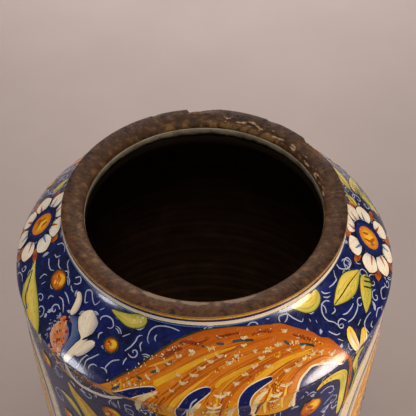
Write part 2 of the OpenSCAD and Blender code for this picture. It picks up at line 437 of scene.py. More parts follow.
def lip_material():
    """Bare clay of the lip, stained by handling, with painted shade and sheen: the tone is on the mesh, the
    grain is here.
    """
    g = Graph("stained_and_shaded_lip_clay", 0.6, specular=0.16)
    paint = g.attribute("paint")
    grain = g.window(g.noise(1500, 4, 0.7), 0.35, 0.70)
    colour = g.mix(g.math("MULTIPLY", grain, 0.4), paint, g.tinted(paint, (0.62, 0.56, 0.50)))
    dust = g.window(g.noise(420, 5, 0.75), 0.60, 0.78, 0.0, 0.2)
    colour = g.mix(dust, colour, rgb(138, 98, 58))
    pits = g.pits(420, 0.06, 0.14, 0.8)
    colour = g.mix(pits, colour, rgb(20, 12, 8))
    height = g.math("ADD", g.noise(700, 5, 0.7), g.math("MULTIPLY", pits, -0.6))
    g.bump(height, 0.35, 0.0005)
    return g.finish(colour, g.window(g.noise(380, 4, 0.6), 0.3, 0.7, 0.44, 0.70))


def clay_material(name, light, dark, grit):
    """Fired clay with turning marks, grit and small pores."""
    g = Graph(name, 0.85, specular=0.25)
    turning = g.noise(1.0, 3, 0.6, g.stretch(g.place(), 25, 25, 1300))
    tone = g.mix(g.window(turning, 0.35, 0.68), light, dark)
    tone = g.mix(g.window(g.noise(170, 5, 0.7), 0.50, 0.75, 0.0, 0.6), tone, blend(dark, (0, 0, 0), 0.35))
    tone = g.mix(g.pits(grit, 0.06, 0.15, 0.7), tone, rgb(60, 40, 28))
    tone = g.mix(g.window(g.noise(1300, 2), 0.68, 0.76, 0.0, 0.6), tone, rgb(214, 182, 146))
    g.bump(g.math("ADD", g.noise(1100, 4, 0.7), turning), 0.5, 0.0005)
    return g.finish(tone, g.window(g.noise(300, 3), 0.3, 0.7, 0.72, 0.92))


def floor_material():
    """Plain pale backdrop paper."""
    g = Graph("backdrop_paper", 0.9, specular=0.1)
    tone = g.mix(g.window(g.noise(9, 3), 0.35, 0.65), rgb(147, 134, 128), rgb(143, 130, 124))
    g.bump(g.noise(900, 3), 0.05, 0.0004)
    return g.finish(tone)


GROUND = ground_material()
RIDGE = ridge_material()
ENAMEL = enamel_material()
PALE = pale_material()
MOUTH_BAND = mouth_band_material()
INNER = inner_material()
LIP_CLAY = lip_material()
BARE_CLAY = clay_material("bare_clay", rgb(176, 128, 88), rgb(142, 98, 62), 420)
SLIP_CLAY = clay_material("slip_clay", rgb(186, 144, 104), rgb(158, 116, 78), 700)


# ---------------------------------------------------------------- meshes
def make_piece(name, verts, faces, material, smooth_angle=40, paint=None, brush=None, cuts=()):
    """Links a closed mesh as a piece of the jar; cuts are chart lengths at which it is divided."""
    mesh = bpy.data.meshes.new(name)
    mesh.from_pydata(verts, [], faces)
    if paint is not None:
        layer = mesh.attributes.new("paint", "FLOAT_COLOR", "POINT")
        layer.data.foreach_set("color", [c for p in paint for c in (*p, 1.0)])
    if brush is not None:
        layer = mesh.attributes.new("brush", "FLOAT_VECTOR", "POINT")
        layer.data.foreach_set("vector", [c for p in brush for c in (*p, 0.0)])
    bm = bmesh.new()
    bm.from_mesh(mesh)
    for cut in cuts:
        bmesh.ops.bisect_plane(bm, geom=bm.verts[:] + bm.edges[:] + bm.faces[:], plane_co=(0, cut, 0),
                               plane_no=(0, 1, 0), dist=0.01)
    if cuts:
        chart = np.array([v.co[:] for v in bm.verts])
        for vert, co in zip(bm.verts, place(chart[:, 0], chart[:, 1], chart[:, 2])):
            vert.co = co
    else:
        bmesh.ops.remove_doubles(bm, verts=bm.verts[:], dist=1e-7)
    if name.startswith("neck"):
        for vert, co in zip(bm.verts, chipped_edge([v.co[:] for v in bm.verts])):
            vert.co = co
    bmesh.ops.recalc_face_normals(bm, faces=bm.faces[:])
    bm.to_mesh(mesh)
    bm.free()
    mesh.shade_smooth()
    mesh.set_sharp_from_angle(angle=math.radians(smooth_angle))
    piece = bpy.data.objects.new(name, mesh)
    bpy.context.scene.collection.objects.link(piece)
    mesh.materials.append(material)
    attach(piece, "root")
    return piece


def ring_faces(count, n):
    """Faces that join count closed sections of n points, all the way round."""
    faces = []
    for i in range(count):
        here = i * n
        there = (i + 1) % count * n
        faces += [(here + k, here + (k + 1) % n, there + (k + 1) % n, there + k) for k in range(n)]
    return faces


def turned(name, loop, material, segments=SEGMENTS):
    """Solid of revolution of a closed profile, in millimetres."""
    profile = np.array(loop) * MM
    angles = np.arange(segments) * 2 * math.pi / segments
    verts = [(r * math.sin(t), -r * math.cos(t), z) for t in angles for r, z in profile]
    return make_piece(name, verts, ring_faces(segments, len(profile)), material)


def coat(name, node, material, slot, step):
    """Smooth coat of glaze in the place of a coat node on the outside."""
    low, high = (v.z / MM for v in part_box(node))
    s_top = skin_s(high) if high < JAR_H - FALL_OUT - 0.01 else 0.0
    s_low = skin_s(low) if low > FOOT_JOINT_Z + 0.01 else SKIN_S[-1]
    count = max(4, round((s_low - s_top) / step))
    outer = np.linspace(s_top, s_low, count + 1)
    inner = np.linspace(s_low, s_top, max(3, count // 6))
    r = [np.interp(s, SKIN_S, SKIN[:, 0]) for s in (outer, inner)]
    z = [np.interp(s, SKIN_S, SKIN[:, 1]) for s in (outer, inner)]
    loop = list(zip(r[0], z[0])) + [(q - GLAZE_T, h) for q, h in zip(r[1], z[1])]
    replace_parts(turned(name, loop, material), node)


def throwing_rings(z):
    """Soft ripple that the fingers left inside, in millimetres."""
    return 0.22 * math.sin(z / 1.25) + 0.14 * math.sin(z / 0.7 + 1.0)


def inner_coat():
    """Dark glaze of the inside, rippled by the throwing rings."""
    points = [(r, z) for r, z in inner_profile() if z < BAND_LOW_Z]
    face = []
    for r, z in points:
        ripple = throwing_rings(z) * min(1.0, (BAND_LOW_Z - z) / 6) if z > FLOOR_Z + 2 else 0.0
        face.append((max(r - 0.1 + ripple * 0.6, 0.0), z))
    face[-1] = (0.0, FLOOR_Z)
    back = [(r + 0.45, z - 0.2) for r, z in points[::-6]]
    back[0] = (0.0, FLOOR_Z - 0.45)
    piece = turned("inner_glaze_skin", [(MOUTH_R, BAND_LOW_Z)] + face + back + [(MOUTH_R + 0.45, BAND_LOW_Z)],
                   INNER, 240)
    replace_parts(piece, "inner_glaze")


def mouth_band():
    """Pale glaze that ran a little way down the inside of the mouth, with an uneven lower edge."""
    rows = 14
    back_r = MOUTH_R + GLAZE_T - 0.05
    verts = []
    for i in range(SEGMENTS):
        a = 2 * math.pi * i / SEGMENTS
        run = noise.fractal(Vector((3 * math.cos(a), 3 * math.sin(a), 1.5)), 0.8, 2.0, 4)
        low = BAND_LOW_Z + 0.4 + 1.3 * run
        section = [(MOUTH_R - (0.14 if 0 < k < rows else 0.0), BAND_TOP_Z + (low - BAND_TOP_Z) * k / rows)
                   for k in range(rows + 1)] + [(back_r, low), (back_r, BAND_TOP_Z)]
        verts += [(r * MM * math.sin(a), -r * MM * math.cos(a), z * MM) for r, z in section]
    faces = ring_faces(SEGMENTS, rows + 3)
    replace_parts(make_piece("mouth_glaze_skin", verts, faces, MOUTH_BAND), "mouth_glaze_band")


# ---------------------------------------------------------------- the lip
# Each chip: azimuth of its steep end, azimuth where it fades out, depth.
CHIPS = ((187.5, 173, 1.6), (133, 114, 1.5), (152, 146, 0.5), (203, 199, 0.4), (96, 90, 0.4))
# Each worn patch at the front, lightened by a painted sheen: azimuth of its middle and half its width, in
# degrees.
WORN_SHEEN_PATCHES = ((-20, 8), (-4, 6), (15, 7))


def clouds(point, octaves=4, fall=0.8):
    """Fractal noise at a point."""
    return noise.fractal(point, fall, 2.0, octaves)


def lip_section(count):
    """Section of the lip's face, from its outer edge over the crown to its inner edge."""
    points = []
    for i in range(count // 3):
        t = math.pi / 2 * i / (count // 3)
        points.append((CROWN_R + (LIP_R - CROWN_R) * math.cos(t), JAR_H - WORN_FALL * (1 - math.sin(t))))
    inner = count - len(points)
    for i in range(inner + 1):
        t = math.pi / 2 * (1 + i / inner)
        points.append((CROWN_R + (CROWN_R - MOUTH_R) * math.cos(t), LIP_IN_Z + FALL_IN * math.sin(t)))
    return points


def turn_between(a, b):
    """Angle between two azimuths, in degrees."""
    return abs((a - b + 180) % 360 - 180)


def chip_depth(a, r):
    """How far the chips cut into the lip's edge at azimuth a and radius r: steep at one end, fading away."""
    depth = 0.0
    for steep, fade, deep in CHIPS:
        share = ((a - fade) % 360) / (steep - fade)
        inwards = (LIP_R - r) / (0.8 + 1.5 * deep)
        if share < 1 and inwards < 1:
            end = min(1.0, (1 - share) / 0.06)
            depth = max(depth, deep * min(1.0, 1.5 * share) * end * min(1.0, 1.6 * (1 - inwards)))
    return depth


def chipped_edge(verts):
    """Lowers the vertices of a coat that would stand over the chips."""
    out = []
    for x, y, z in verts:
        if z > SHOULDER_Z * MM:
            a = math.degrees(math.atan2(x, -y)) % 360
            z = min(z, (JAR_H - FALL_OUT - 0.05 - 1.25 * chip_depth(a, LIP_R)) * MM)
        out.append((x, y, z))
    return out


def lip_tone(a, t, x, y, chipped):
    """Colour of the stained clay, with painted shade and sheen, at azimuth a and at t from the outer edge (0)
    to the inner one (1).
    """
    here = Vector((x, y, 0))
    broad = clouds(here * 0.05)
    fine = clouds(here * 0.3 + Vector((7, 3, 1)))
    rings = clouds(Vector((a / 16, t * 7, 5)), 3)
    scrape = clouds(Vector((a / 1.4, t * 1.5, 8)), 3)
    inner = 1 / (1 + math.exp(-(t - 0.45 - 0.25 * broad) * 9))
    tone = blend(rgb(82, 48, 22), rgb(84, 55, 30), inner + 0.35 * rings)
    tone = blend(tone, rgb(126, 90, 54), max(0.0, fine * 1.1 - 0.1) * (0.4 + inner))
    tone = blend(tone, rgb(34, 20, 10), max(0.0, -fine * 1.5 - 0.12) * (1.2 - inner))
    if 20 < a % 360 < 130:
        tone = blend(tone, rgb(40, 22, 10), max(0.0, scrape * 1.4) * (1 - inner) * 0.9)
    # Painted shade: the lip darkens smoothly from the front towards the back.
    back_shade = 0.82 + 0.18 * math.cos(math.radians(a))
    tone = tuple(back_shade * c for c in tone)
    tone = blend(tone, rgb(188, 146, 94), max(0.0, 1 - t / 0.05) * 0.8)
    tone = blend(tone, rgb(142, 110, 78), max(0.0, (t - 0.93) / 0.07) * (0.4 + fine))
    ochre = clouds(here * 0.22 + Vector((3, 5, 2)), 3)
    if turn_between(a, 172) < 34 and t > 0.6:
        tone = blend(tone, rgb(142, 104, 60), min(0.5, (ochre + 0.15) * 2.2 * (t - 0.55) / 0.3))
    if 98 < a < 172:
        worn = max(0.0, 1 - ((t - 0.5 - 0.005 * (168 - a)) / 0.16) ** 2)
        crumb = clouds(Vector((a / 4.2, t * 11, 11)), 3, 0.7)
        if worn > 0:
            tone = blend(tone, rgb(30, 17, 8), min(0.7, (0.4 * worn - crumb - 0.4) * 4))
            tone = blend(tone, rgb(176, 148, 114), min(0.85, (0.45 * worn + crumb - 0.66) * 5))
    # Worn patches at the front of the lip, lightened by a painted sheen of its gloss.
    for centre, half in WORN_SHEEN_PATCHES:
        off = turn_between(a, centre) / half
        patch = (1.15 - off * off - ((t - 0.66) / 0.12) ** 2 + 0.3 * fine) * 3
        tone = blend(tone, rgb(146, 118, 94), min(0.7, max(0.0, patch)))
    return blend(tone, rgb(110, 72, 40), 0.6 * min(1.0, chipped))


def mouth_lip():
    """Lip of bare clay: chipped, pitted and stained."""
    segments = 1200
    section = lip_section(44)
    closing = [(MOUTH_R, BAND_TOP_Z), (MOUTH_R + GLAZE_T, BAND_TOP_Z), (MOUTH_R + GLAZE_T, BAND_TOP_Z - 3),
               (LIP_R - 0.6, BAND_TOP_Z - 3), (LIP_R - 0.6, JAR_H - FALL_OUT - 0.5),
               (LIP_R - 0.05, JAR_H - FALL_OUT - 0.5)]
    verts, tones = [], []
    for i in range(segments):
        a = 360 * i / segments
        angle = math.radians(a)
        for k, (r, z) in enumerate(section):
            x, y = r * math.sin(angle), -r * math.cos(angle)
            here = Vector((x, y, 0))
            rough = 0.5 + 0.5 * clouds(here * 0.7)
            swell = 0.5 + 0.5 * noise.noise(here * 0.12)
            cut = chip_depth(a, r)
            edge = min(1.0, k / 3, (len(section) - 1 - k) / 3)
            drop = edge * (0.16 * rough + 0.14 * swell) + cut * (0.8 + 0.5 * rough)
            verts.append((x * MM, y * MM, (z - drop) * MM))
            tones.append(lip_tone(a, k / (len(section) - 1), x, y, cut * 2))
        for r, z in closing:
            low = min(z, JAR_H - FALL_OUT - 0.5 - 1.2 * chip_depth(a, LIP_R)) if r > CROWN_R else z
            verts.append((r * math.sin(angle) * MM, -r * math.cos(angle) * MM, low * MM))
            tones.append(rgb(70, 48, 32))
    faces = ring_faces(segments, len(section) + len(closing))
    piece = make_piece("lip_clay", verts, faces, LIP_CLAY, 60, paint=tones)
    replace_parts(piece, "mouth_lip")


# ---------------------------------------------------------------- brush strokes
LIFT_LOW = 0.05  # of the lowest paint above the glaze
LIFT_STEP = 0.03  # from one layer of paint to the next
LIFT_TICK = 0.002  # between strokes of one layer, so that no two lie in one surface
TICKS = 13
SUNK = -0.15  # of the hidden back of a stroke, in the glaze
# Chart lengths at which strokes are divided, close together where the glaze bends over the ridge.
CUTS = (37.5, 38.0, 38.25, 38.5, 38.75, 39.0, 39.25, 39.5, 39.75, 40.25, 41.0, 42.25)


def degree(s):
    """Length of one degree round the jar, in millimetres."""
    return skin_radius(s) * math.pi / 180


def spline(points, step):
    """Smooth curve through points of any size, as an array with about one point per step."""
    p = np.array(points, dtype=float)
    p = np.vstack((2 * p[0] - p[1], p, 2 * p[-1] - p[-2]))
    out = []
    for i in range(1, len(p) - 2):
        gap = math.hypot((p[i + 1][0] - p[i][0]) * degree(p[i][1]), p[i + 1][1] - p[i][1])
        count = max(2, math.ceil(gap / step))
        for k in range(count):
            t = k / count
            out.append(0.5 * (2 * p[i] + (p[i + 1] - p[i - 1]) * t
                              + (2 * p[i - 1] - 5 * p[i] + 4 * p[i + 1] - p[i + 2]) * t * t
                              + (3 * p[i] - p[i - 1] - 3 * p[i + 1] + p[i + 2]) * t ** 3))
    out.append(p[-2])
    return np.array(out)


def wide_spline(points, widths, step):
    """Smooth curve of (a, s, half width)."""
    return spline([(a, s, w) for (a, s), w in zip(points, widths)], step)


def heading(curve):
    """Length of a degree, and direction of the curve in millimetres, at each of its points."""
    metric = np.array([degree(s) for s in curve[:, 1]])
    ahead = np.gradient(curve[:, :2], axis=0) * np.column_stack((metric, np.ones(len(metric))))
    return metric, ahead / np.maximum(np.hypot(ahead[:, 0], ahead[:, 1]), 1e-9)[:, None]


class Canvas:
    """Brush strokes that make one painted piece."""

    def __init__(self, name, seed=1):
        self.name = name
        self.random = random.Random(seed)
        self.verts, self.faces, self.paint, self.brush = [], [], [], []
        self.turn, self.flip, self.drop, self.strokes = 0.0, 1, 0.0, 0

    def grid(self, rows, colour, layer, lengths, widths):
        """Closed thin solid on rows of chart points."""
        lift = LIFT_LOW + LIFT_STEP * layer + LIFT_TICK * (self.strokes % TICKS)
        self.strokes += 1
        tint = self.random.uniform(0.92, 1.06)
        start = len(self.verts)
        n, m = len(rows), len(rows[0])
        shift = self.random.uniform(0, 60)
        for i, row in enumerate(rows):
            for j, (a, s) in enumerate(row):
                u, v = i / (n - 1), 2 * j / (m - 1) - 1
                tone = colour(u, v) if callable(colour) else colour
                self.verts.append((self.flip * a + self.turn, s + self.drop, lift))
                self.paint.append(tuple(c * tint for c in tone))
                self.brush.append((lengths[i] + shift, widths[i] * v))
            backing = [row[k] for k in self.backing(m)]
            for a, s in reversed(backing):
                self.verts.append((self.flip * a + self.turn, s + self.drop, SUNK))
                self.paint.append(self.paint[-1])
                self.brush.append(self.brush[-1])
        w = m + len(backing)
        for i in range(n - 1):
            here, there = start + i * w, start + (i + 1) * w
            self.faces += [(here + j, here + (j + 1) % w, there + (j + 1) % w, there + j) for j in range(w)]
        for end in (start, start + (n - 1) * w):
            self.faces.append(tuple(end + j for j in range(w)))

    @staticmethod
    def backing(columns):
        """Columns that the hidden back of a stroke keeps: both edges, and every other one between."""
        return sorted({0, columns - 1, *range(0, columns, 2)})

    def stroke(self, points, half_width, colour, layer=1, step=0.8):
        """Stroke along a curve; half_width is a number or one number per point."""
        half = half_width if isinstance(half_width, (list, tuple)) else [half_width]
        spots = np.linspace(0, len(half) - 1, len(points))
        widths = np.interp(spots, range(len(half)), half)
        curve = wide_spline(points, widths, step)
        metric, ahead = heading(curve)
        steps = np.diff(curve[:, :2], axis=0) * np.column_stack((metric[1:], np.ones(len(metric) - 1)))
        lengths = np.concatenate(([0.0], np.cumsum(np.hypot(steps[:, 0], steps[:, 1]))))
        widths = np.maximum(curve[:, 2], 0.05)
        for end in (lengths, lengths[-1] - lengths):
            near = np.clip(end / np.maximum(widths, 0.05), 0, 1)
            widths = widths * np.maximum(np.sqrt(1 - (1 - near) ** 2), 0.12)
        columns = max(3, math.ceil(2 * widths.max() / 1.0) + 1)
        rows = []
        for (a, s, _), (tx, ty), w, m in zip(curve, ahead, widths, metric):
            offsets = np.linspace(-w, w, columns)
            rows.append([(a - ty * d / m, s + tx * d) for d in offsets])
        self.grid(rows, colour, layer, lengths, widths)

    def edged(self, points, widths, rim, edge, colour, layer):
        """Stroke over a wider one that shows as its edge."""
        self.stroke(points, [w + rim for w in widths], edge, layer)
        self.stroke(points, widths, colour, layer + 1)

    def patch(self, left, right, colour, layer=0, step=1.0):
        """Patch between two curves that run side by side."""
        one, two = spline(left, step), spline(right, step)
        count = max(len(one), len(two))
        at = np.linspace(0, 1, count)
        sides = [np.column_stack([np.interp(at, np.linspace(0, 1, len(c)), c[:, k]) for k in (0, 1)])
                 for c in (one, two)]
        span = np.hypot((sides[1] - sides[0])[:, 0] * 1.4, (sides[1] - sides[0])[:, 1])
        columns = max(3, math.ceil(span.max() / 1.0) + 1)
        share = np.linspace(0, 1, columns)
        rows = [[tuple(p + (q - p) * f) for f in share] for p, q in zip(*sides)]
        self.grid(rows, colour, layer, at * count * step, span / 2)

    def dot(self, a, s, radius, colour, layer=2, tall=1.0):
        """Round dab of paint, tall times as long down the jar as it is wide."""
        reach = radius * tall
        self.stroke([(a, s - reach), (a, s), (a, s + reach)], radius, colour, layer, 0.5)

    def disc(self, a, s, across_mm, down_mm, colour, layer=2):
        """Oval of paint, coloured from its middle (u = 0) to its edge (u = 1)."""
        rings, spokes = max(4, math.ceil(max(across_mm, down_mm))), 28
        rows = []
        for i in range(rings + 1):
            f = 0.02 + 0.98 * i / rings
            turn = [2 * math.pi * k / spokes for k in range(spokes + 1)]
            rows.append([(a + f * across_mm * math.cos(t) / degree(s), s - f * down_mm * math.sin(t))
                         for t in turn])
        self.grid(rows, colour, layer, [i * 1.0 for i in range(rings + 1)], [down_mm] * (rings + 1))

    def scroll(self, points, width=0.27, colour=CURL, layer=1):
        """Thin curl that starts full and ends in a point."""
        self.stroke(points, (0.75 * width, width, width, 0.8 * width, 0.4 * width), colour, layer, 0.6)

    def ring(self, s, half, colour, layer=1, wander=0.12):
        """Line all the way round the jar."""
        phase = self.random.uniform(0, 9)
        points = [(a, s + wander * (math.sin(a / 29 + phase) + 0.5 * math.sin(a / 7 + phase)))
                  for a in range(-180, 181, 6)]
        self.stroke(points, half, colour, layer, 1.2)

    def crumbs(self, points, spread, count, tones, layer, size=0.3):
        """Small dabs scattered along a curve."""
        curve = spline(points, 0.5)
        pick = self.random
        for _ in range(count):
            a, s = curve[pick.randrange(len(curve))]
            a += pick.gauss(0, spread) / degree(s)
            s += pick.gauss(0, spread)
            radius = size * pick.uniform(0.6, 1.3)
            lean = pick.uniform(-1, 1) * radius
            path = [(a - lean / degree(s), s - radius), (a + lean / degree(s), s + radius)]
            self.stroke(path, 0.7 * radius, pick.choice(tones), layer, 0.7)

    def grain(self, points, widths, tones, layer, count):
        """Fine strokes along the inside of a wide one."""
        curve = wide_spline(points, widths, 1.0)
        metric, ahead = heading(curve)
        pick = self.random
        for _ in range(count):
            first = pick.randrange(0, max(1, len(curve) - 4))
            last = min(len(curve), first + pick.randint(4, 12))
            off = pick.uniform(-0.75, 0.75)
            path = [(a - ty * off * w / m, s + tx * off * w)
                    for (a, s, w), (tx, ty), m in list(zip(curve, ahead, metric))[first:last:2]]
            if len(path) > 1:
                self.stroke(path, (0.1, pick.uniform(0.15, 0.4), 0.1), pick.choice(tones), layer)

    def piece(self, slot="painted_glaze"):
        """Makes the piece from all its strokes."""
        return make_piece(self.name, self.verts, self.faces, ENAMEL, 50, self.paint, self.brush, CUTS)


# ---------------------------------------------------------------- repeated motifs
def berry(c, a, s, wide, tall, layer=2):
    """Bud of yellow and rust dabs in a soft dark halo."""
    m = degree(s)
    c.disc(a, s, wide + 0.7, tall + 0.7, lambda u, v: OLIVE, layer)
    c.disc(a, s, wide, tall, along(ORANGE, ORANGE, ORANGE, RUST), layer + 1)
    light = along(YELLOW, YELLOW, OCHRE)
    c.disc(a + 0.2 * wide / m, s - 0.2 * tall, 0.68 * wide, 0.68 * tall, light, layer + 2)
    turns = ((-0.45, -0.35), (0.05, -0.05), (-0.35, 0.3), (0.25, 0.55))
    curl = [(a + u * wide / m, s + v * tall) for u, v in turns]
    c.stroke(curl, 0.16 * wide, along(RUST, ORANGE, RUST), layer + 3)
    c.crumbs(curl, 0.3 * wide, 6, (RUST, ORANGE, YELLOW), layer + 3, 0.2 * wide)


def daisy(c, a, s, size, turn=0.0, petals=8, layer=1):
    """White-petalled flower with a yellow centre in a blue ring and brown sepals between the petals."""
    m = degree(s)

    def at(angle, reach):
        t = math.radians(angle + turn)
        return a + reach * size * math.cos(t) / m, s - reach * size * math.sin(t)

    def dab(angle, reaches, widths, colour, level):
        c.stroke([at(angle, reach) for reach in reaches], [w * size for w in widths], colour, level)

    wide = 8.4 / petals
    for k in range(petals):
        sepal = 360 * (k + 0.5) / petals
        large = 1.0 if k % 2 == 0 else 0.6
        dab(sepal, (13.0, 17.5, 21.5), (1.9 * large, 3.4 * large, 1.4 * large), INK, layer)
        dab(sepal, (13.5, 17.5, 20.8), (1.2 * large, 2.8 * large, 0.8 * large),
            along(ORANGE, RUST, ORANGE), layer + 1)
    for k in range(petals):
        angle = 360 * k / petals + 5 * math.sin(5 * k)
        dab(angle, (8.0, 11.5, 15.5, 19.6), (2.6 * wide, 4.3 * wide, 5.1 * wide, 3.4), INK, layer + 1)
        dab(angle, (8.5, 11.5, 15.5, 18.9), (2.2 * wide, 3.8 * wide, 4.7 * wide, 2.8),
            along(LILAC, WHITE, WHITE, CREAM), layer + 2)
        dab(angle + 5, (9.5, 12.0, 15.0), (0.8, 0.5, 0.2), along(RUST, ORANGE) if k % 3 else SKY, layer + 3)
    c.disc(a, s, 9.6 * size, 9.8 * size, along(INK, DEEP_BLUE, DEEP_BLUE, INK), layer + 4)
    c.disc(a, s, 5.9 * size, 6.4 * size, along(YELLOW, YELLOW, OCHRE, ORANGE), layer + 5)
    stamens = (((-2.5, -3), (1, 3)), ((0.5, -4), (2.5, 0)), ((-1, 1), (2.2, 4)), ((-3.5, 1), (-1.5, 4)))
    for one, two in stamens:
        c.stroke([(a + x * size / m, s + y * size) for x, y in (one, (one[0] + 0.8, two[1] - 1.5), two)],
                 (0.3 * size, 0.8 * size, 0.3 * size), along(RUST, ORANGE), layer + 6)


def leaf(c, points, widths, colours=(LEMON, LEAF, MOSS), vein=None, layer=1):
    """Pointed leaf in a soft dark edge: the tone runs across it, with strokes of other greens along it."""
    side = across(*colours)

    def tone(u, v):
        return blend(side(u, v), MOSS, 0.6 * max(0.0, u - 0.6) + 1.4 * max(0.0, abs(v) - 0.75))

    c.edged(points, widths, 0.4, OLIVE, tone, layer)
    c.grain(points, widths, (*colours, YELLOW, LEAF), layer + 2, int(4 * max(widths)))
    if vein is not None:
        c.stroke(points, (0.15, 0.35, 0.1), vein, layer + 3)


def spiral(c, a, s, radius, turn=0.0, side=1, tail=1.6, colour=CURL, layer=1, width=0.27):
    """Small curl: a tail that winds into a coil."""
    m = degree(s)
    points = []
    for k in range(9):
        t = k / 8
        angle = math.radians(turn) + side * t * 2 * math.pi * 1.15
        reach = radius * (tail * (1 - t) ** 1.6 + 0.45 * (1 - t) + 0.22)
        points.append((a + reach * math.cos(angle) / m, s - reach * math.sin(angle)))
    c.scroll(points, width, colour, layer)


def ripple(c, a, s, radius, turn, span, rows, layer=0):
    """Short arcs one inside the other."""
    m = degree(s)
    for k in range(rows):
        reach = radius * (0.45 + 0.55 * (rows - k) / rows)
        bend = [math.radians(turn + span * (q / 4 - 0.5) * (1 - 0.1 * k)) for q in range(5)]
        c.scroll([(a + reach * math.cos(t) / m, s - reach * math.sin(t)) for t in bend], 0.22, CURL, layer)


def middles(paths, da, ds):
    """Ovals (a, s, da, ds) in the middle of each path, for fill_scrolls to stay clear of."""
    return [(sum(p[0] for p in points) / len(points), sum(p[1] for p in points) / len(points), da, ds)
            for points in paths]


def fill_scrolls(c, a_range, s_range, count, blocked, seed):
    """Curls and arcs scattered over a stretch of ground, clear of the blocked ovals (a, s, da, ds)."""
    pick = random.Random(seed)
    placed = list(blocked)
    for _ in range(count * 6):
        a, s = pick.uniform(*a_range), pick.uniform(*s_range)
        size = pick.uniform(1.3, 2.5)
        if any(((a - p) / (da + size)) ** 2 + ((s - q) / (ds + size)) ** 2 < 1 for p, q, da, ds in placed):
            continue
        placed.append((a, s, 1.0 * size, 1.3 * size))
        if pick.random() < 0.4:
            spiral(c, a, s, size, pick.uniform(0, 360), pick.choice((-1, 1)), pick.uniform(0.9, 1.5), CURL, 0,
                   pick.uniform(0.18, 0.28))
        else:
            ripple(c, a, s, 1.5 * size, pick.uniform(0, 360), pick.uniform(60, 130), pick.choice((1, 2, 3)))
        count -= 1
        if count <= 0:
            return


# ---------------------------------------------------------------- front and back of the shoulder
# A scratch program computed some of the chart points in this section from pixel positions in the photograph:
# most of LEAF_SHADOWS, and parts of LEAF_RIBS, CREAM_DABS, carnation and right_stems.
LEAF_EDGE = ((-26.5, 33), (-23.5, 29), (-20, 24.5), (-16.5, 19), (-13.5, 15.5), (-9.5, 11.5), (-4.5, 8.5),
             (0.5, 6.5), (5, 6), (10.5, 6), (16, 7), (21.5, 8), (25, 9), (28.5, 10), (32, 13), (35, 16),
             (38, 19), (40, 23), (42.5, 25.5), (44, 30), (45, 33.5), (46.5, 38.5))
LEAF_FOOT = ((-31, 43), (-27, 43.5), (-23, 42), (-20, 42), (-16, 45), (-12, 47), (-8, 47.5), (-5, 47),
             (-2, 46), (2, 47.5), (6, 48.5), (9, 48), (12, 47), (14, 48), (17, 50), (20, 51), (23, 51),
             (25.5, 50), (27, 44), (29, 38), (33, 34), (40, 37))
LEAF_GAPS = (
    ((-14, 32), (-17, 33.5), (-20.5, 36), (-23.5, 39), (-27, 42)), (0.7, 1.3, 1.7, 2.0, 2.0),
    ((2, 30), (-0.5, 31.5), (-3.5, 34.5), (-5.5, 38.5), (-6.5, 42), (-6.5, 47)),
    (0.8, 1.8, 2.3, 2.2, 2.2, 2.2),
    ((20.5, 29.5), (17, 30.5), (13.5, 32.5), (11.5, 35.5), (11, 39), (11.5, 43), (11.5, 48)),
    (0.7, 1.3, 1.8, 2.2, 2.3, 2.5, 2.6),
)
LEAF_RIBS = (
    (((-15, 30.5), (-11, 26.5), (-4, 20.5), (4, 16), (11, 14)), (1.4, 1.3, 1.1, 0.7, 0.3)),
    (((-10, 44), (-9, 38), (-7, 34), (-3, 29), (2, 24)), (1.1, 1.1, 0.9, 0.6, 0.2)),
    (((3, 29.5), (6, 26.5), (12, 23.5), (17, 22)), (0.8, 0.8, 0.7, 0.2)),
    (((13, 31), (17, 28), (22, 25.5), (27, 24.5), (32, 25), (35, 26.5)), (0.5, 1.1, 1.3, 1.0, 0.8, 0.2)),
    (((-17.5, 24), (-13, 20.5), (-9.5, 18)), (0.3, 0.45, 0.2)),
)
LEAF_STAINS = (
    (((-9, 12.5), (-6, 11.5), (-2.5, 12), (1.5, 10)), 1.0),
    (((-14.5, 19.5), (-11, 16.5), (-7.5, 14)), 0.9),
    (((4, 9.5), (8.5, 9), (13, 9)), 0.5),
    (((17, 10.5), (21, 10.5), (25, 12)), 0.5),
    (((31, 16), (35, 20), (38, 24)), 0.5),
)
LEAF_SHADOWS = (((-27, 38), (-24.5, 35)), ((-20.5, 29), (-18.5, 29.5)), ((-16.5, 26), (-14.5, 24.5)),
                ((-12.5, 22), (-10, 20)), ((-1, 12.5), (0, 13.5)), ((4, 12), (7, 12.5)),
                ((9.5, 12), (13, 12), (17.5, 13)), ((27.5, 17), (29, 19.5)),
                ((32, 21), (34.5, 22.5), (37, 25)))
LEAF_CRUMBS = (
    (((-24, 30), (-20, 24), (-16, 19.5), (-12, 16), (-8, 12)), 0.6, 34, (CREAM, TAN, PINK)),
    (((2, 14), (3, 14)), 0.8, 18, (CREAM, LEMON, YELLOW)), (((-5, 16.5), (-3, 15.5)), 0.6, 12, (TAN, CREAM)),
    (((20.5, 18), (22.5, 18)), 0.5, 14, (CREAM, LEMON, YELLOW)),
    (((29.5, 19), (31.5, 20)), 0.5, 16, (CREAM, YELLOW)),
    (((22, 22), (25, 21)), 0.4, 12, (YELLOW, OCHRE)),
    (((4, 23), (7, 21), (12, 18.5)), 0.4, 18, (CREAM, RUST, TAN)),
    (((12, 29), (16.5, 27)), 0.5, 16, (RUST, YELLOW)),
    (((30, 28), (33, 27), (36, 26)), 0.7, 22, (PINK, YELLOW, CREAM)),
    (((18, 33), (23, 32)), 0.7, 22, (YELLOW, RUST)), (((35, 20), (39, 26)), 0.7, 20, (PINK, RUST, YELLOW)),
    (((-27, 36), (-23, 33.5), (-19, 31)), 1.2, 60, (YELLOW, LEMON, CREAM, RUST, TEAL)),
)
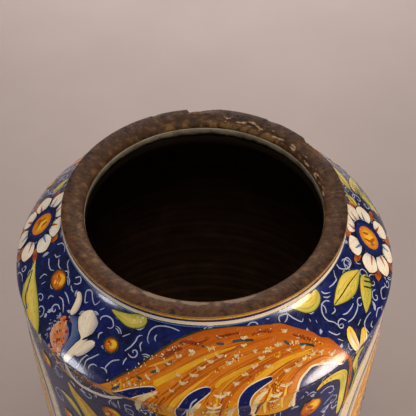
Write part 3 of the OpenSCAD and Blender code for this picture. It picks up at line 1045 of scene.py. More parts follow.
LEAF_LOBES = (
    (((-14, 35), (-15.5, 40), (-14.5, 46)), (((-13.5, 33), (-17, 36.5), (-19, 42), (-19, 48)),)),
    (((4, 34), (2.5, 40), (2, 46)), (((-1, 36), (-3.2, 40), (-3.8, 46)), ((10, 38), (7.8, 42), (7, 47)))),
    (((22, 34), (20, 41), (20, 49)),
     (((18.5, 33.5), (15, 37), (14, 42), (14.3, 49)), ((27.3, 38), (27, 44), (25, 50)))),
)
LEAF_ARCH = ((26.5, 51), (26.5, 44), (27, 38), (28.5, 34.5), (31, 32.5), (33.5, 31.5), (37, 33), (40, 35),
             (42, 37.5), (44, 39.5))
LEAF_ARCH_FOOT = ((26.6, 51.5), (29, 47), (31, 43), (32, 41), (33, 40.5), (34, 40.5), (36, 41),
                  (39, 41.5), (42, 41.5), (44.2, 40.5))
CREAM_DABS = ((-17, 28), (-14.5, 24), (-8.5, 17.5), (-4.5, 15), (2, 19), (5, 17), (-1, 21.5),
              (-3.5, 24.5), (-6.5, 28), (-9.5, 31.5), (14, 11), (13.5, 14), (12, 25.5), (15.5, 23),
              (20, 24.5), (18.5, 20.5), (21.5, 18.5), (25, 17.5), (9.5, 28.5), (6.5, 32), (-22, 32.5),
              (35, 27), (38, 28), (32, 27), (29.5, 28.5), (25.5, 28.5), (24.5, 34), (20, 36.5), (8, 20),
              (10.5, 17.5), (17, 17), (-11.5, 21), (-8, 25), (28, 21), (33, 22.5), (36.5, 32), (41, 31.5),
              (29, 13.5), (17.5, 33.5))
LEAF_FLOWS = (
    ((-26, 35), (-20, 27), (-13, 18.5), (-6, 12.5), (2, 9), (12, 8), (22, 10)),
    ((-22, 37), (-15, 30), (-9, 23.5), (-3, 18), (4, 14), (12, 12), (22, 12.5)),
    ((-13, 38), (-9, 32), (-4, 25.5), (2, 20), (9, 16.5), (17, 15), (26, 15)),
    ((-9, 44), (-8, 36), (-4, 29), (1, 24), (8, 20), (16, 18), (29, 17.5)),
    ((1, 45), (2, 38), (5, 31), (10, 26), (17, 22.5), (25, 20.5), (33, 21)),
    ((7, 45), (8, 38), (11, 32), (16, 28), (22, 25.5), (29, 24), (36, 25)),
    ((17, 47), (18, 40), (21, 33.5), (26, 29), (30, 27.5), (34, 27.5), (38, 29)),
    ((24, 48), (24, 42), (26, 35), (29, 31.5), (33, 30), (38, 30.5), (43, 34)),
)


def leaf_tone(u, v):
    """Brown-orange along the top edge of the acanthus leaf, orange in the body and yellow below."""
    brown = blend(RUST, ORANGE, 0.35)
    body = blend(ORANGE, OCHRE, 0.3)
    return along(brown, blend(RUST, ORANGE, 0.75), body, body, body, OCHRE, OCHRE)((v + 1) / 2, 0)


def leaf_streaks(c, pick):
    """Long brush streaks that follow the leaf's ribs from its lobes to its top edge."""
    tones = (blend(RUST, ORANGE, 0.3), blend(RUST, ORANGE, 0.6), ORANGE, OCHRE, YELLOW)
    for row, (low, high) in enumerate(zip(LEAF_FLOWS, LEAF_FLOWS[1:])):
        for k in range(9):
            f = (k + pick.random()) / 9
            path = [(p[0] + (q[0] - p[0]) * f, p[1] + (q[1] - p[1]) * f) for p, q in zip(low, high)]
            first = pick.choice((0, 0, 1, 2, 3))
            last = pick.choice((4, 5, 6, 6))
            tone = tones[min(4, max(0, int(pick.gauss(1.4 + 0.2 * row, 1.0))))]
            width = pick.uniform(0.15, 0.5)
            c.stroke(path[first:last + 1], (0.1, width, 0.8 * width, 0.1), tone, 3)


def acanthus(c):
    """Great orange leaf with its lobes, ribs, dabs and crumbs, in its own chart place."""
    c.crumbs(LEAF_EDGE[:9], 0.6, 60, (OLIVE, UMBER, INK), 0, 0.6)
    c.patch([(a - 0.5, s - 0.5) for a, s in LEAF_EDGE], [(a - 0.3, s + 0.7) for a, s in LEAF_FOOT], OLIVE, 1)
    c.patch(LEAF_EDGE, LEAF_FOOT, leaf_tone, 2)
    c.stroke([(-24, 36), (-27.5, 38), (-31, 41), (-34, 44)], (3.2, 2.6, 1.8, 0.4), along(OCHRE, ORANGE), 2)
    pick = random.Random(5)
    leaf_streaks(c, pick)
    rib_tone = along(*(blend(YELLOW, OCHRE, share) for share in (0.35, 0.55, 0.8)))
    for points, widths in LEAF_RIBS:
        c.stroke(points, widths, rib_tone, 4)
    for points, width in LEAF_STAINS:
        c.stroke(points, (0.3, width, 0.3), RUST, 4)
        c.crumbs(points, 0.6, 22, (UMBER, UMBER, RUST, CREAM), 5, 0.3)
    lobes(c, pick)
    for points, widths in zip(LEAF_GAPS[::2], LEAF_GAPS[1::2]):
        c.edged(points, widths, 0.45, CREAM, COBALT, 5)
    c.patch(LEAF_ARCH, LEAF_ARCH_FOOT, COBALT, 5)
    c.stroke(LEAF_ARCH, (0.7, 0.5, 0.4, 0.4), CREAM, 6)
    c.scroll(((-2, 34), (-3.5, 36), (-4, 38.5), (-5, 41), (-5.5, 43), (-6.5, 45.5)), 0.35, CURL, 7)
    for points in LEAF_SHADOWS:
        c.stroke(points, 0.5, rgb(36, 62, 48), 5)
        c.stroke(points[:2], 0.15, TEAL, 6)
    for points, spread, count, tones in LEAF_CRUMBS:
        c.crumbs(points, spread, count, tones, 6, 0.36)
    for a, s in CREAM_DABS:
        left, rise, right, fall = (0.7, -1.2, 0.9, 1.0) if a < -12 else (1.2, -0.5, 1.2, -0.3)
        size = pick.uniform(0.75, 1.15)
        path = [(a - left * size, s + rise * size), (a, s + 0.3), (a + right * size, s + fall * size)]
        c.stroke(path, (0.3, 0.6 * size, 0.35), along(DAB, TAN, DAB), 7)
        c.crumbs(path, 0.5, 4, (DAB, TAN, CREAM), 7, 0.45)


def lobes(c, pick):
    """Mottled lobes of the leaf, with cream edges, where they run over the ridge."""
    for middle, edges in LEAF_LOBES:
        for off in (-2.6, -1.3, 0, 1.3, 2.6):
            path = [(a + off + pick.uniform(-0.3, 0.3), s + pick.uniform(-1, 1)) for a, s in middle]
            tones = pick.choice(((ORANGE, OCHRE), (RUST, ORANGE), (YELLOW, LEMON), (ORANGE, RUST)))
            c.stroke(path, (0.2, 0.6, 0.7, 0.3), along(*tones), 4)
        c.crumbs(middle, 1.7, 60, (RUST, ORANGE, YELLOW, LEMON, TAN, CREAM), 5, 0.5)
        for points in edges:
            c.stroke(points, (0.4, 1.2, 1.4, 0.9), along(CREAM, TAN, CREAM), 5)
            c.crumbs(points, 0.8, 16, (CREAM, YELLOW, ORANGE), 6, 0.35)
    for a, s in ((24, 34), (20.5, 37), (20, 41), (4.5, 33), (2.5, 38), (2.5, 42)):
        c.stroke(((a - 2, s - 0.6), (a, s + 0.5), (a + 2, s - 0.4)), (0.25, 0.6, 0.25), CREAM, 6)
    c.stroke(((-17, 43.5), (-18.5, 46.5), (-19, 49.5)), 0.35, SKY, 7)
    c.stroke(((17, 39.5), (15.5, 43), (14.5, 48)), 0.45, blend(TEAL, OLIVE, 0.7), 7)


def carnation(c):
    """White and blue flower with a mottled orange heart, over the ridge at the left of the leaf."""
    heart = ((-51, 24.5), (-50, 28), (-49.3, 32), (-48.5, 37))
    haze = blend(LILAC, DEEP_BLUE, 0.5)
    c.stroke(heart, (2.2, 4.4, 4.8, 3.2), across(haze, PINK, PINK, blend(PINK, CREAM, 0.4)), 1)
    c.crumbs(heart, 1.5, 100, (blend(ORANGE, PINK, 0.5), PINK, PINK, RUST, blend(TAN, PINK, 0.5)), 2, 0.8)
    c.crumbs(((-53.5, 24), (-54, 30), (-53, 36)), 0.8, 26, (haze, LILAC), 1, 0.5)
    c.stroke(((-49.8, 20.5), (-46.3, 21.5), (-44, 26), (-44, 31.5), (-44.5, 38)), (1.3, 2.4, 2.5, 2.5, 2.2),
             across(DEEP_BLUE, blend(DEEP_BLUE, SKY, 0.6), haze), 2)
    petals = ((((-53, 11), (-51, 13), (-50, 16.5), (-50, 20.5)), (1.0, 1.5, 1.7, 1.2)),
              (((-43.5, 13), (-43, 17), (-42, 21), (-41, 25), (-41.5, 29), (-43, 34), (-44, 38.5)),
               (2.2, 4.8, 3.9, 1.5, 2.0, 1.6, 1.4)),
              (((-37, 23.3), (-38.5, 26), (-40, 29.5), (-41.5, 32.5)), (1.2, 2.0, 1.9, 1.2)))
    for points, widths in petals:
        c.edged(points, widths, 0.4, INK, across(LILAC, CREAM, WHITE, CREAM), 2)
    c.stroke(((-37.5, 19.5), (-39.5, 22.5), (-41.5, 25.5)), (1.1, 0.6, 0.3), INK, 4)
    c.stroke(((-49, 19.5), (-46.5, 17.8)), (0.6, 0.3), INK, 4)
    under = ((-41, 41.5), (-37, 42.5), (-33, 41.8), (-28, 40.5))
    c.stroke(under, (2.2, 3.0, 2.2, 1.4), along(OLIVE, UMBER, RUST, ORANGE), 1)
    c.crumbs(under, 1.1, 90, (ORANGE, RUST, YELLOW, OLIVE, LEMON, MOSS), 2, 0.45)
    loop = ((-44.5, 41), (-43.2, 45.8), (-39.7, 49.2), (-33.5, 48.5), (-28, 46), (-24, 42))
    c.stroke(loop, 0.8, WHITE, 3)
    c.stroke(((-51.5, 41), (-50, 44), (-46, 47.5), (-42, 49)), 0.6, OCHRE, 3)
    c.stroke(((-52, 39), (-48, 40.5), (-45, 40.5)), (0.8, 1.2, 0.5), CREAM, 2)


LEFT_SCROLLS = (
    ((-58, 8.5), (-56, 6), (-54.5, 7.5), (-55.5, 9.5), (-57, 10.5)),
    ((-47, 11.5), (-48, 12.5), (-49.5, 10), (-50, 8.5), (-49, 7), (-47.5, 7), (-46, 9), (-44, 10.5), (-43, 9),
     (-42.5, 7.5)),
    ((-41, 11), (-39.5, 9)), ((-57.5, 12), (-56, 13), (-54.5, 13)), ((-58, 16), (-55.5, 16.5), (-53, 18)),
    ((-58.5, 19.5), (-56.5, 19), (-54.5, 20.5), (-53, 22.5)),
    ((-39, 14.5), (-39, 13), (-37.5, 11.5), (-35, 11.5), (-33.5, 13.5), (-34, 15), (-35.5, 15.5)),
    ((-29, 16), (-26.5, 13.5)), ((-26.5, 21), (-25, 18.5), (-24, 16), (-23.5, 13.5), (-22, 12.5)),
    ((-21.5, 15), (-22, 16.5), (-21, 19)),
    ((-9, 7.5), (-13, 6.5), (-17, 7), (-19, 8.5), (-20, 10.5), (-20, 13.5), (-19, 15)),
    ((-17, 10.5), (-17.5, 11.5), (-17.5, 12.5), (-17, 13.5)),
    ((-34, 26.5), (-35.5, 29), (-37, 31.5), (-37, 34.5), (-37, 36)),
    ((-37.5, 29.5), (-38.5, 32), (-39, 35.5), (-39.5, 37.5)),
    ((-35.5, 34.5), (-35.5, 33), (-34.5, 31.5), (-33, 31.5)),
    ((-27, 25), (-29, 26.5), (-30, 28.5), (-30.5, 30.5), (-29.5, 31.5)),
    ((-25, 23), (-25.5, 25), (-25.5, 26.5)),
    ((-25, 44), (-23, 42), (-21, 41)), ((-21, 47), (-23, 47), (-23.5, 48.5), (-23, 50.5)),
    ((-27.5, 47), (-28.5, 49.5), (-28.5, 52)), ((-25.5, 46), (-25.5, 48), (-25, 51.5)),
    ((-31.5, 8.5), (-30, 11), (-27.5, 11.5)), ((-22, 8.5), (-23.5, 10.5), (-25.5, 11)),
    ((-36, 18), (-37, 19.5), (-36.5, 21.5)),
)
RIGHT_SCROLLS = (
    ((28.5, 9.5), (28.5, 7.5), (29.5, 7), (32, 7.5), (34, 10.5), (35.5, 12.5), (36.5, 13.5), (37.5, 12.5)),
    ((23.5, 6), (25, 6.5)), ((39.5, 14), (39.5, 15.5)), ((41.5, 16), (41.5, 17.5)),
    ((50.5, 14), (49, 12.5), (47, 12.5), (45.5, 14.5), (45, 17), (45.5, 19.5), (47, 21.5), (48, 24),
     (49.5, 24.5)),
    ((48, 18.5), (50, 18.5), (50.5, 17)), ((49.5, 8), (50.5, 10), (53, 11.5)),
    ((49, 10.5), (50.5, 12), (52, 12.5)),
    ((53.5, 9.5), (56, 10), (58.5, 10), (59, 8.5), (60, 6)), ((51.5, 22), (53.5, 23), (56, 23), (58, 22.5)),
    ((51.5, 26), (54, 26.5), (56.5, 26), (58.5, 25), (59.5, 24)),
    ((43.5, 23), (44.5, 25), (45.5, 26.5), (47, 27)),
    ((45, 28), (46.5, 30.5)), ((54, 30.5), (56.5, 29.5)),
    ((56.5, 37.5), (56, 34), (57, 32), (59.5, 31.5), (61.5, 32)), ((59, 37.5), (58.5, 36), (60, 35)),
    ((63, 5.5), (63.5, 8.5), (66, 11.5), (68.5, 12.5), (69.5, 11), (68.5, 8.5), (67, 7.5), (66.5, 8)),
    ((28, 41), (29, 44), (28, 49)), ((31, 48), (33, 47.5), (34.5, 50)),
    ((36, 52), (38.5, 51), (41, 53), (41.5, 57)),
    ((38, 63), (40, 61), (42, 60)), ((37, 67), (39.5, 66), (42, 66)),
    ((30.5, 43.5), (31.5, 41.5), (33.5, 41.5)),
)


def shoulder_scene(c, white):
    """Everything painted on one half of the shoulder, as seen from the front of that half."""
    acanthus(c)
    carnation(c)
    berry(c, -31.5, 21, 2.9, 2.8)
    leaf(c, ((-36.5, 8), (-32, 8.5), (-28, 8.5), (-24.5, 7), (-22, 5)), (0.3, 1.7, 2.8, 2.9, 1.6),
         (LEAF, LEMON, LEAF))
    for a, s in ((-25.5, 6), (-24, 7.5), (-26.5, 8), (-23.5, 5.5)):
        c.dot(a, s, 0.5, CREAM, 4)
    leaf(c, ((34.5, 5.5), (38, 7), (42, 8.5), (45.5, 8), (47.5, 5.5)), (0.3, 2.2, 3.8, 3.4, 1.0),
         (LEMON, LEMON, LEAF))
    leaf(c, ((51, 16.5), (57, 16), (63, 16), (70, 17.5)), (0.4, 3.9, 4.6, 0.6), (LEMON, LEMON, LEAF), OLIVE)
    leaf(c, ((59.5, 30), (63.5, 26.5), (67, 23.5), (70.5, 21)), (0.3, 2.8, 3.2, 2.6), (LEMON, LEAF, LEAF))
    for one, two in (((66, 22.5), (68.5, 27.5)), ((67.8, 21.5), (70.5, 26.5)), ((69.5, 21), (71.5, 25.5))):
        c.stroke((one, two), 0.4, OLIVE, 4)
    right_stems(c)
    for points in LEFT_SCROLLS + RIGHT_SCROLLS:
        white.scroll(points)
    spiral(white, -56.5, 24.5, 1.3, 40)
    spiral(white, -46.5, 46, 0.9, 200, -1)
    fill_scrolls(white, (-62, 62), (7, 50), 120, middles(LEFT_SCROLLS + RIGHT_SCROLLS, 1.9, 2.4), 40)


def right_stems(c):
    """Pale heart, red stem and green bands that run down over the ridge at the right of the leaf."""
    lobe_paths = ((((51, 27.5), (50, 31), (49.8, 35), (50.2, 39)), (1.0, 2.3, 2.2, 1.5)),
                  (((55.5, 33), (54, 36.5), (52.3, 40), (50.8, 44)), (1.1, 2.4, 2.2, 0.9)))
    for rim, colour, layer in ((0.5, INK, 1), (0, along(YELLOW, LEMON, CREAM, CREAM), 2)):
        for points, widths in lobe_paths:
            c.stroke(points, [w + rim for w in widths], colour, layer)
    for points, widths in lobe_paths:
        c.grain(points, widths, (YELLOW, LEMON, OCHRE, WHITE), 3, 12)
    c.stroke(((52.8, 30.5), (51.6, 33)), (0.7, 0.3), UMBER, 4)
    bands = ((((55.3, 45), (52.5, 46), (51, 50), (52.3, 57), (52.3, 62), (51.5, 68), (50, 73), (48, 77)),
              (0.6, 1.6, 1.8, 1.3, 1.2, 1.0, 0.8, 0.3), (LEAF, LEMON, MOSS, LEAF, LEAF)),
             (((34.5, 48), (36.5, 45.8), (39.5, 45.5), (43, 47.5), (45.3, 51), (46, 57), (46, 65),
               (46, 73), (45.5, 80)),
              (0.6, 1.3, 1.9, 2.4, 2.4, 2.1, 1.9, 1.8, 1.0), (YELLOW, LEMON, LEAF, LEMON, LEAF)),
             (((46.5, 38.5), (47.5, 42), (48.8, 50), (49, 57), (49, 64), (48.6, 73), (47.5, 80)),
              (0.5, 1.0, 1.1, 1.0, 0.9, 0.7, 0.4), (ORANGE, RUST, ORANGE, ORANGE, RUST)))
    for points, widths, tones in bands:
        c.edged(points, widths, 0.45, OLIVE, along(*tones), 1)
        c.grain(points, widths, tones, 3, 16)
    c.crumbs(((48, 45), (49, 55)), 0.5, 12, (UMBER, ORANGE, OCHRE), 4, 0.4)
    for a in (36.5, 38, 39.5):
        c.stroke(((a, 45), (a + 0.3, 46.5)), 0.25, OLIVE, 4)


# ---------------------------------------------------------------- sides of the shoulder
SIDE_SCROLLS = (
    ((-77.5, 10), (-75.5, 6.5), (-72.5, 5.5), (-71, 7)), ((-74.5, 12.5), (-72.5, 12), (-71.5, 9.5)),
    ((-66, 6), (-65.5, 8), (-62, 9.5)), ((-71, 11), (-68.5, 12.5), (-65.5, 12)),
    ((-75, 16), (-72.5, 17), (-70, 17), (-68.5, 15.5)), ((-70.5, 24), (-70.5, 21), (-69, 19.5)),
    ((-68, 24), (-67.5, 21.5)), ((-61.5, 24.5), (-61.5, 22.5), (-60, 21.5)),
    ((-80.5, 37.5), (-80, 35), (-78, 33.5), (-75.5, 34)),
    ((-61, 34), (-63.5, 31.5), (-65.5, 33), (-64.5, 36)),
    ((-112, 6), (-114.5, 9), (-113, 12.5), (-110.5, 11)),
    ((-111, 26), (-113.5, 29), (-111.5, 32), (-109.5, 30)),
    ((74, 34), (71, 32), (69, 34.5), (71, 37)), ((62, 36), (64.5, 34.5), (66.5, 36)),
    ((100, 6), (103, 5), (105, 8), (103, 10)), ((74.5, 13), (72, 15), (73, 17.5)),
)


def sides(c, white):
    """Daisies, buds and leaves on the two sides of the shoulder."""
    daisy(c, -93.5, 20, 0.95, 10)
    daisy(c, 87, 20, 0.95, 4)
    berry(c, -63.7, 15.5, 4.2, 4.0)
    leaf(c, ((-78.5, 23.5), (-74, 27.5), (-69.5, 31), (-64.5, 34), (-60, 38.5), (-57.5, 46)),
         (0.2, 2.4, 4.4, 4.6, 4.0, 0.8), (LEAF, LEMON, LEMON, LEAF))
    c.stroke(((-76, 26), (-73, 31.5), (-70, 35.5), (-66, 36.5)), (0.5, 2.1, 1.9, 0.5), TEAL, 3)
    leaf(c, ((-75.5, 27), (-73, 32), (-70.5, 36), (-67, 37)), (0.3, 1.4, 1.2, 0.3), (LEMON, LEAF), None, 3)
    leaf(c, ((100, 17), (103, 14), (105.5, 11.5)), (0.4, 2.6, 0.4))
    leaf(c, ((102.5, 33), (107, 30), (111, 26), (115.5, 22)), (0.4, 3.2, 3.6, 0.5), (LEMON, LEAF, MOSS))
    leaf(c, ((-116, 16), (-112.5, 18.5), (-110, 22)), (0.4, 2.4, 0.4))
    berry(c, 117, 12, 2.6, 2.6)
    berry(c, -117.5, 31, 2.8, 2.8)
    for points in SIDE_SCROLLS:
        white.scroll(points)
    for first in (-120, 62):
        fill_scrolls(white, (first, first + 58), (7, 50), 110, middles(SIDE_SCROLLS, 1.9, 2.4), 44 + first)


# ---------------------------------------------------------------- the wall
MEDALLION_S = 132
# Each medallion: name, azimuth of its middle, half its width in degrees.
MEDALLIONS = (("left_medallion", -94, 42), ("right_medallion", 91, 46))


def oval(a, s, half_a, half_s, power, count=48):
    """Closed outline that lies between an oval and a box."""
    points = []
    for k in range(count + 1):
        t = 2 * math.pi * k / count
        x, y = math.cos(t), math.sin(t)
        points.append((a + half_a * math.copysign(abs(x) ** power, x),
                       s + half_s * math.copysign(abs(y) ** power, y)))
    return points


def filled_oval(c, a, s, half_a, half_s, power, colour, layer):
    """Oval area painted in one colour, in horizontal rows."""
    rows = 90
    left, right = [], []
    for k in range(rows + 1):
        y = math.cos(math.pi * k / rows)
        x = max(0.02, 1 - abs(y) ** (2 / power)) ** (power / 2)
        left.append((a - half_a * x, s - half_s * y))
        right.append((a + half_a * x, s - half_s * y))
    c.patch(left, right, colour, layer, 1.5)


def medallion(c, a, half, seed):
    """Framed cartouche, half degrees wide on each side, with a vase of flowers on a pale ground."""
    s = MEDALLION_S
    pick = random.Random(seed)
    filled_oval(c, a, s, half, 88, 0.6, CREAM, 0)
    c.crumbs(oval(a, s, 0.92 * half, 83, 0.6), 1.3, 110, (TAN, TAN, ORANGE, WHITE), 1, 0.7)
    for share, tall, width, colour in ((0.985, 87, 0.35, SKY), (0.85, 78, 0.5, COBALT), (0.82, 76, 0.3, SKY)):
        c.stroke(oval(a, s, share * half, tall, 0.6), width, colour, 2)
    filled_oval(c, a, s, 0.77 * half, 73, 0.6, OCHRE, 1)
    c.crumbs(oval(a, s, 0.65 * half, 64.5, 0.6), 2.2, 420, (YELLOW, YELLOW, ORANGE, LEMON), 2, 1.5)
    filled_oval(c, a, s, 0.53 * half, 56, 0.62, rgb(214, 206, 186), 2)
    c.stroke(oval(a, s, 0.53 * half, 56, 0.62), 0.7, RUST, 3)
    c.stroke(oval(a, s, 0.49 * half, 53, 0.64), 0.4, COBALT, 3)
    bouquet(c, a, s, pick)


def bouquet(c, a, s, pick):
    """Stems that fan out of a small two-handled pot, with flowers, buds and leaves."""
    foot = s + 42
    c.patch(((a - 5, foot - 16), (a - 8, foot - 11), (a - 7, foot - 4), (a - 3.5, foot)),
            ((a + 5, foot - 16), (a + 8, foot - 11), (a + 7, foot - 4), (a + 3.5, foot)),
            across(COBALT, SKY, WHITE, SKY, COBALT), 3)
    c.stroke(((a - 6, foot - 16.5), (a, foot - 16), (a + 6, foot - 16.5)), 1.0, OCHRE, 4)
    c.stroke(((a - 5, foot + 1), (a, foot + 1.4), (a + 5, foot + 1)), 1.2, OCHRE, 4)
    for side in (-1, 1):
        c.stroke(((a + side * 7, foot - 11), (a + side * 11, foot - 13), (a + side * 10, foot - 7),
                  (a + side * 7, foot - 5)), 0.55, COBALT, 4)
    tips = ((0, -42), (-9, -31), (9, -31), (-14, -12), (14, -12), (-5, -18), (5, -18), (-16, 8), (16, 8))
    for k, (da, ds) in enumerate(tips):
        stem = ((a + da * 0.1, foot - 17), (a + da * 0.45, s + ds * 0.5 + 12), (a + da, s + ds))
        c.stroke(stem, (0.7, 0.45, 0.3), MOSS, 3)
        for side in (-1, 1):
            start = (a + da * 0.5, s + ds * 0.55 + 9 + 4 * side)
            leaf(c, (start, (start[0] + side * 3, start[1] - 3), (start[0] + side * 6, start[1] - 3 + side)),
                 (0.2, 1.6, 0.2), (LEAF, MOSS), None, 4)
        if k % 3 == 0:
            daisy(c, a + da, s + ds, 0.42, pick.uniform(0, 40), 7, 5)
        elif k % 3 == 1:
            berry(c, a + da, s + ds, 2.8, 3.2, 5)
        else:
            for turn in range(5):
                t = math.radians(72 * turn + 18)
                c.dot(a + da + 1.8 * math.cos(t), s + ds - 2.6 * math.sin(t), 1.8, SKY, 5)
            c.dot(a + da, s + ds, 1.4, YELLOW, 7)


# Each leaf: path, half widths, colours. Each bud: a, s, half width, half height. Each daisy: a, s, size.
FRONT_LEAVES = (
    (((-44.5, 54.5), (-42, 60), (-38.5, 65), (-35, 72), (-33, 81)),
     (0.4, 2.6, 4.2, 4.8, 0.8), (OCHRE, YELLOW, LEAF)),
    (((-49, 67), (-44, 70), (-40.5, 76)), (0.5, 2.3, 0.5), (LEMON, LEAF)),
    (((-30, 76), (-24, 84), (-20, 93), (-19, 101)), (0.5, 4.5, 5.0, 0.8), (YELLOW, LEMON, LEAF)),
    (((24, 70), (19, 78), (17, 87), (19, 95)), (0.5, 4.2, 4.8, 0.8), (LEMON, LEAF, MOSS)),
    (((36, 88), (30, 94), (26, 102), (27, 110)), (0.5, 3.8, 4.4, 0.6), (YELLOW, LEMON, LEAF)),
    (((-44, 92), (-38, 98), (-34, 107), (-36, 116)), (0.5, 4.0, 4.6, 0.6), (LEMON, LEAF, MOSS)),
    (((-8, 62), (-3, 70), (-2, 80), (-6, 90)), (0.5, 4.2, 4.8, 0.8), (OCHRE, YELLOW, LEMON)),
    (((10, 190), (20, 196), (30, 206), (34, 218)), (0.5, 4.8, 5.4, 0.8), (YELLOW, LEMON, LEAF)),
    (((-10, 190), (-20, 196), (-30, 206), (-34, 218)), (0.5, 4.8, 5.4, 0.8), (LEMON, LEAF, MOSS)),
    (((0, 200), (-3, 210), (3, 220), (0, 232)), (0.5, 4.4, 4.4, 0.8), (OCHRE, YELLOW, LEAF)),
    (((44, 226), (38, 232), (30, 236), (22, 236)), (0.4, 3.6, 3.6, 0.5), (LEMON, LEAF, MOSS)),
    (((-44, 226), (-38, 232), (-30, 236), (-22, 236)), (0.4, 3.6, 3.6, 0.5), (YELLOW, LEMON, LEAF)),
)
FRONT_BUDS = ((-28, 58, 4.6, 4.2), (33, 58.5, 5.2, 5.0), (-55.5, 55, 3.8, 3.8), (-47, 84, 3.4, 3.4),
              (8, 66, 4.4, 4.4), (37, 100, 3.6, 3.6), (-14, 112, 4.2, 4.2), (-46, 205, 4.0, 4.0),
              (46, 205, 4.0, 4.0), (14, 234, 3.6, 3.6), (-14, 234, 3.6, 3.6))
FRONT_DAISIES = ((2, 108, 0.85), (-40, 190, 0.8), (40, 190, 0.8), (0, 182, 0.7))


def wall_scene(c, white, seed):
    """Foliage between the medallions on one half of the wall."""
    for points, widths, colours in FRONT_LEAVES:
        leaf(c, points, widths, colours)
    for a, s, wide, tall in FRONT_BUDS:
        berry(c, a, s, wide, tall)
    for a, s, size in FRONT_DAISIES:
        daisy(c, a, s, size, a)
    for radius, a, s in ((2.2, -48, 54), (2.4, -36, 53), (2.6, -50, 74)):
        spiral(white, a, s, radius, 60)
    blocked = middles([points for points, _, _ in FRONT_LEAVES], 8, 12)
    blocked += [(a, s, wide, tall + 2) for a, s, wide, tall in FRONT_BUDS]
    blocked += [(a, s, 14 * size, 19 * size) for a, s, size in FRONT_DAISIES]
    fill_scrolls(white, (-51, 44), (45, 244), 380, blocked, seed)


def base_lines():
    """Bands of yellow, white and blue above and below the lower ridge."""
    c = Canvas("base_lines", 21)
    low_s = skin_s(LOW_RIDGE_Z)
    for s, half, colour in ((low_s - 11, 1.3, OCHRE), (low_s - 8.4, 0.5, WHITE), (low_s - 5.5, 2.2, CREAM),
                            (low_s - 5.5, 0.45, COBALT), (low_s - 1.6, 0.8, YELLOW), (low_s + 3, 0.5, COBALT),
                            (low_s + 9, 1.1, COBALT)):
        c.ring(s, half, colour, 2 if half < 0.5 else 1)
    return c.piece()


def neck_lines():
    """Yellow, blue-black and white lines round the neck."""
    c = Canvas("neck_lines", 22)
    c.ring(0.55, 0.45, along(YELLOW, OCHRE, YELLOW, OCHRE, YELLOW), 1, 0.06)
    c.ring(1.8, 0.7, along(INK, DEEP_BLUE, INK), 1, 0.08)
    c.ring(3.5, 0.95, along(CREAM, WHITE, CREAM, WHITE), 1, 0.12)
    c.ring(4.9, 0.2, SKY, 1, 0.12)
    return c.piece("lined_glaze")


def painting():
    """All painted pieces: the shoulder and the wall are painted in two halves, front and back."""
    neck_lines()
    white = Canvas("white_scrolls", 2)
    for name, turn, flip in (("front", 0, 1), ("back", 180, -1)):
        shoulder = Canvas(name + "_shoulder_foliage", 3 + flip)
        wall = Canvas(name + "_wall_foliage", 6 + flip)
        for c in (shoulder, wall, white):
            c.turn, c.flip = turn, flip
        shoulder_scene(shoulder, white)
        wall_scene(wall, white, 12 + flip)
        shoulder.piece()
        wall.piece()
        swag = Canvas(name + "_wall_acanthus", 9 + flip)
        swag.turn, swag.flip, swag.drop = turn, -flip, 118
        acanthus(swag)
        swag.piece()
    white.turn, white.flip = 0.0, 1
    side = Canvas("side_flowers", 4)
    sides(side, white)
    side.piece()
    white.piece()
    for name, a, half in MEDALLIONS:
        c = Canvas(name, 31)
        medallion(c, a, half, 17)
        c.piece()
    base_lines()


# ---------------------------------------------------------------- the jar
def glaze():
    """Smooth coats in the place of the coat nodes."""
    coat("neck_glaze_skin", "neck_glaze_band", GROUND, "lined_glaze", 0.4)
    coat("shoulder_glaze_skin", "shoulder_glaze", GROUND, "painted_glaze", 0.5)
    coat("ridge_glaze_skin", "ridge_glaze_line", RIDGE, "lined_glaze", 0.25)
    coat("wall_glaze_skin", "wall_glaze", GROUND, "painted_glaze", 1.2)
    coat("base_glaze_skin", "base_glaze", PALE, "lined_glaze", 0.8)
    inner_coat()
    mouth_band()


def finish_clay():
    """Clay and slip materials for the CAD nodes that stay."""
    for name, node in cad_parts.items():
        node.data.materials.clear()
        node.data.materials.append(SLIP_CLAY if "slip" in name else BARE_CLAY)


def aim(obj, target):
    """Turns a lamp or camera towards a point."""
    obj.rotation_euler = (Vector(target) - obj.location).to_track_quat("-Z", "Y").to_euler()


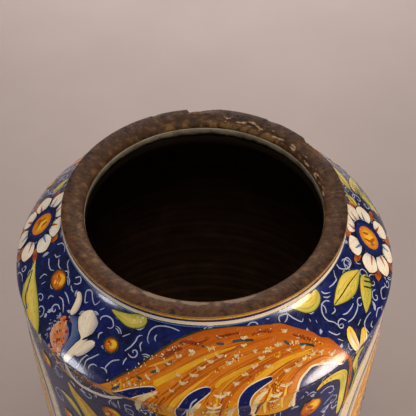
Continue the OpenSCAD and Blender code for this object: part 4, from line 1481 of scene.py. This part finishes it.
def backdrop():
    """Floor that sweeps up behind the jar."""
    half, far, rise, sweep = 2.0, 2.2, 1.6, 0.6
    turns = [math.pi / 2 * k / 12 for k in range(13)]
    bend = [(far - sweep + sweep * math.sin(t), sweep - sweep * math.cos(t)) for t in turns]
    outline = [(-half, 0.0), *bend, (far, rise)]
    verts = [(x, y, z) for y, z in outline for x in (-half, half)]
    mesh = bpy.data.meshes.new("backdrop")
    mesh.from_pydata(verts, [], [(2 * k, 2 * k + 1, 2 * k + 3, 2 * k + 2) for k in range(len(outline) - 1)])
    mesh.shade_smooth()
    mesh.materials.append(floor_material())
    paper = bpy.data.objects.new("backdrop", mesh)
    bpy.context.scene.collection.objects.link(paper)


def softbox(name, location, target, wide, tall, power, colour, spread):
    """Soft oval lamp, aimed at a point; its spread is in degrees."""
    data = bpy.data.lights.new(name, "AREA")
    data.shape = "ELLIPSE"
    data.spread = math.radians(spread)
    data.size, data.size_y = wide, tall
    data.energy = power
    data.color = colour
    lamp = bpy.data.objects.new(name, data)
    lamp.location = location
    aim(lamp, target)
    bpy.context.scene.collection.objects.link(lamp)


def studio():
    """Soft lights and world."""
    softbox("right_softbox", (0.418, -0.252, 0.21), (0, 0, 0.21), 0.20, 0.23, 0.62, (1.0, 0.88, 0.76), 90)
    softbox("left_softbox", (-0.474, -0.224, 0.18), (0, 0, 0.18), 0.13, 0.19, 0.22, (0.95, 0.93, 1.0), 90)
    softbox("back_light", (0.05, 0.95, 0.55), (0.02, 0.60, 0.0), 0.9, 0.4, 5.9, (1.0, 0.98, 0.98), 120)
    softbox("top_fill", (0.0, -0.25, 1.6), (0, 0, 0.2), 0.8, 0.8, 1.9, (1.0, 0.93, 0.84), 60)
    world = bpy.data.worlds.new("studio")
    world.use_nodes = True
    sky = world.node_tree.nodes["Background"]
    sky.inputs["Color"].default_value = (0.50, 0.50, 0.56, 1)
    sky.inputs["Strength"].default_value = 0.2
    bpy.context.scene.world = world


def camera():
    """Long lens looking down into the mouth from the front."""
    data = bpy.data.cameras.new("camera")
    data.lens = 111.5
    data.sensor_width = 36
    data.shift_x, data.shift_y = 0.0087, -0.0085
    cam = bpy.data.objects.new("camera", data)
    cam.location = (0.0, -0.3786, 0.6836)
    aim(cam, (0, 0, JAR_H * MM))
    bpy.context.scene.collection.objects.link(cam)
    bpy.context.scene.camera = cam


finish_clay()
glaze()
mouth_lip()
painting()
backdrop()
studio()
camera()
bpy.context.scene.view_settings.view_transform = "Standard"
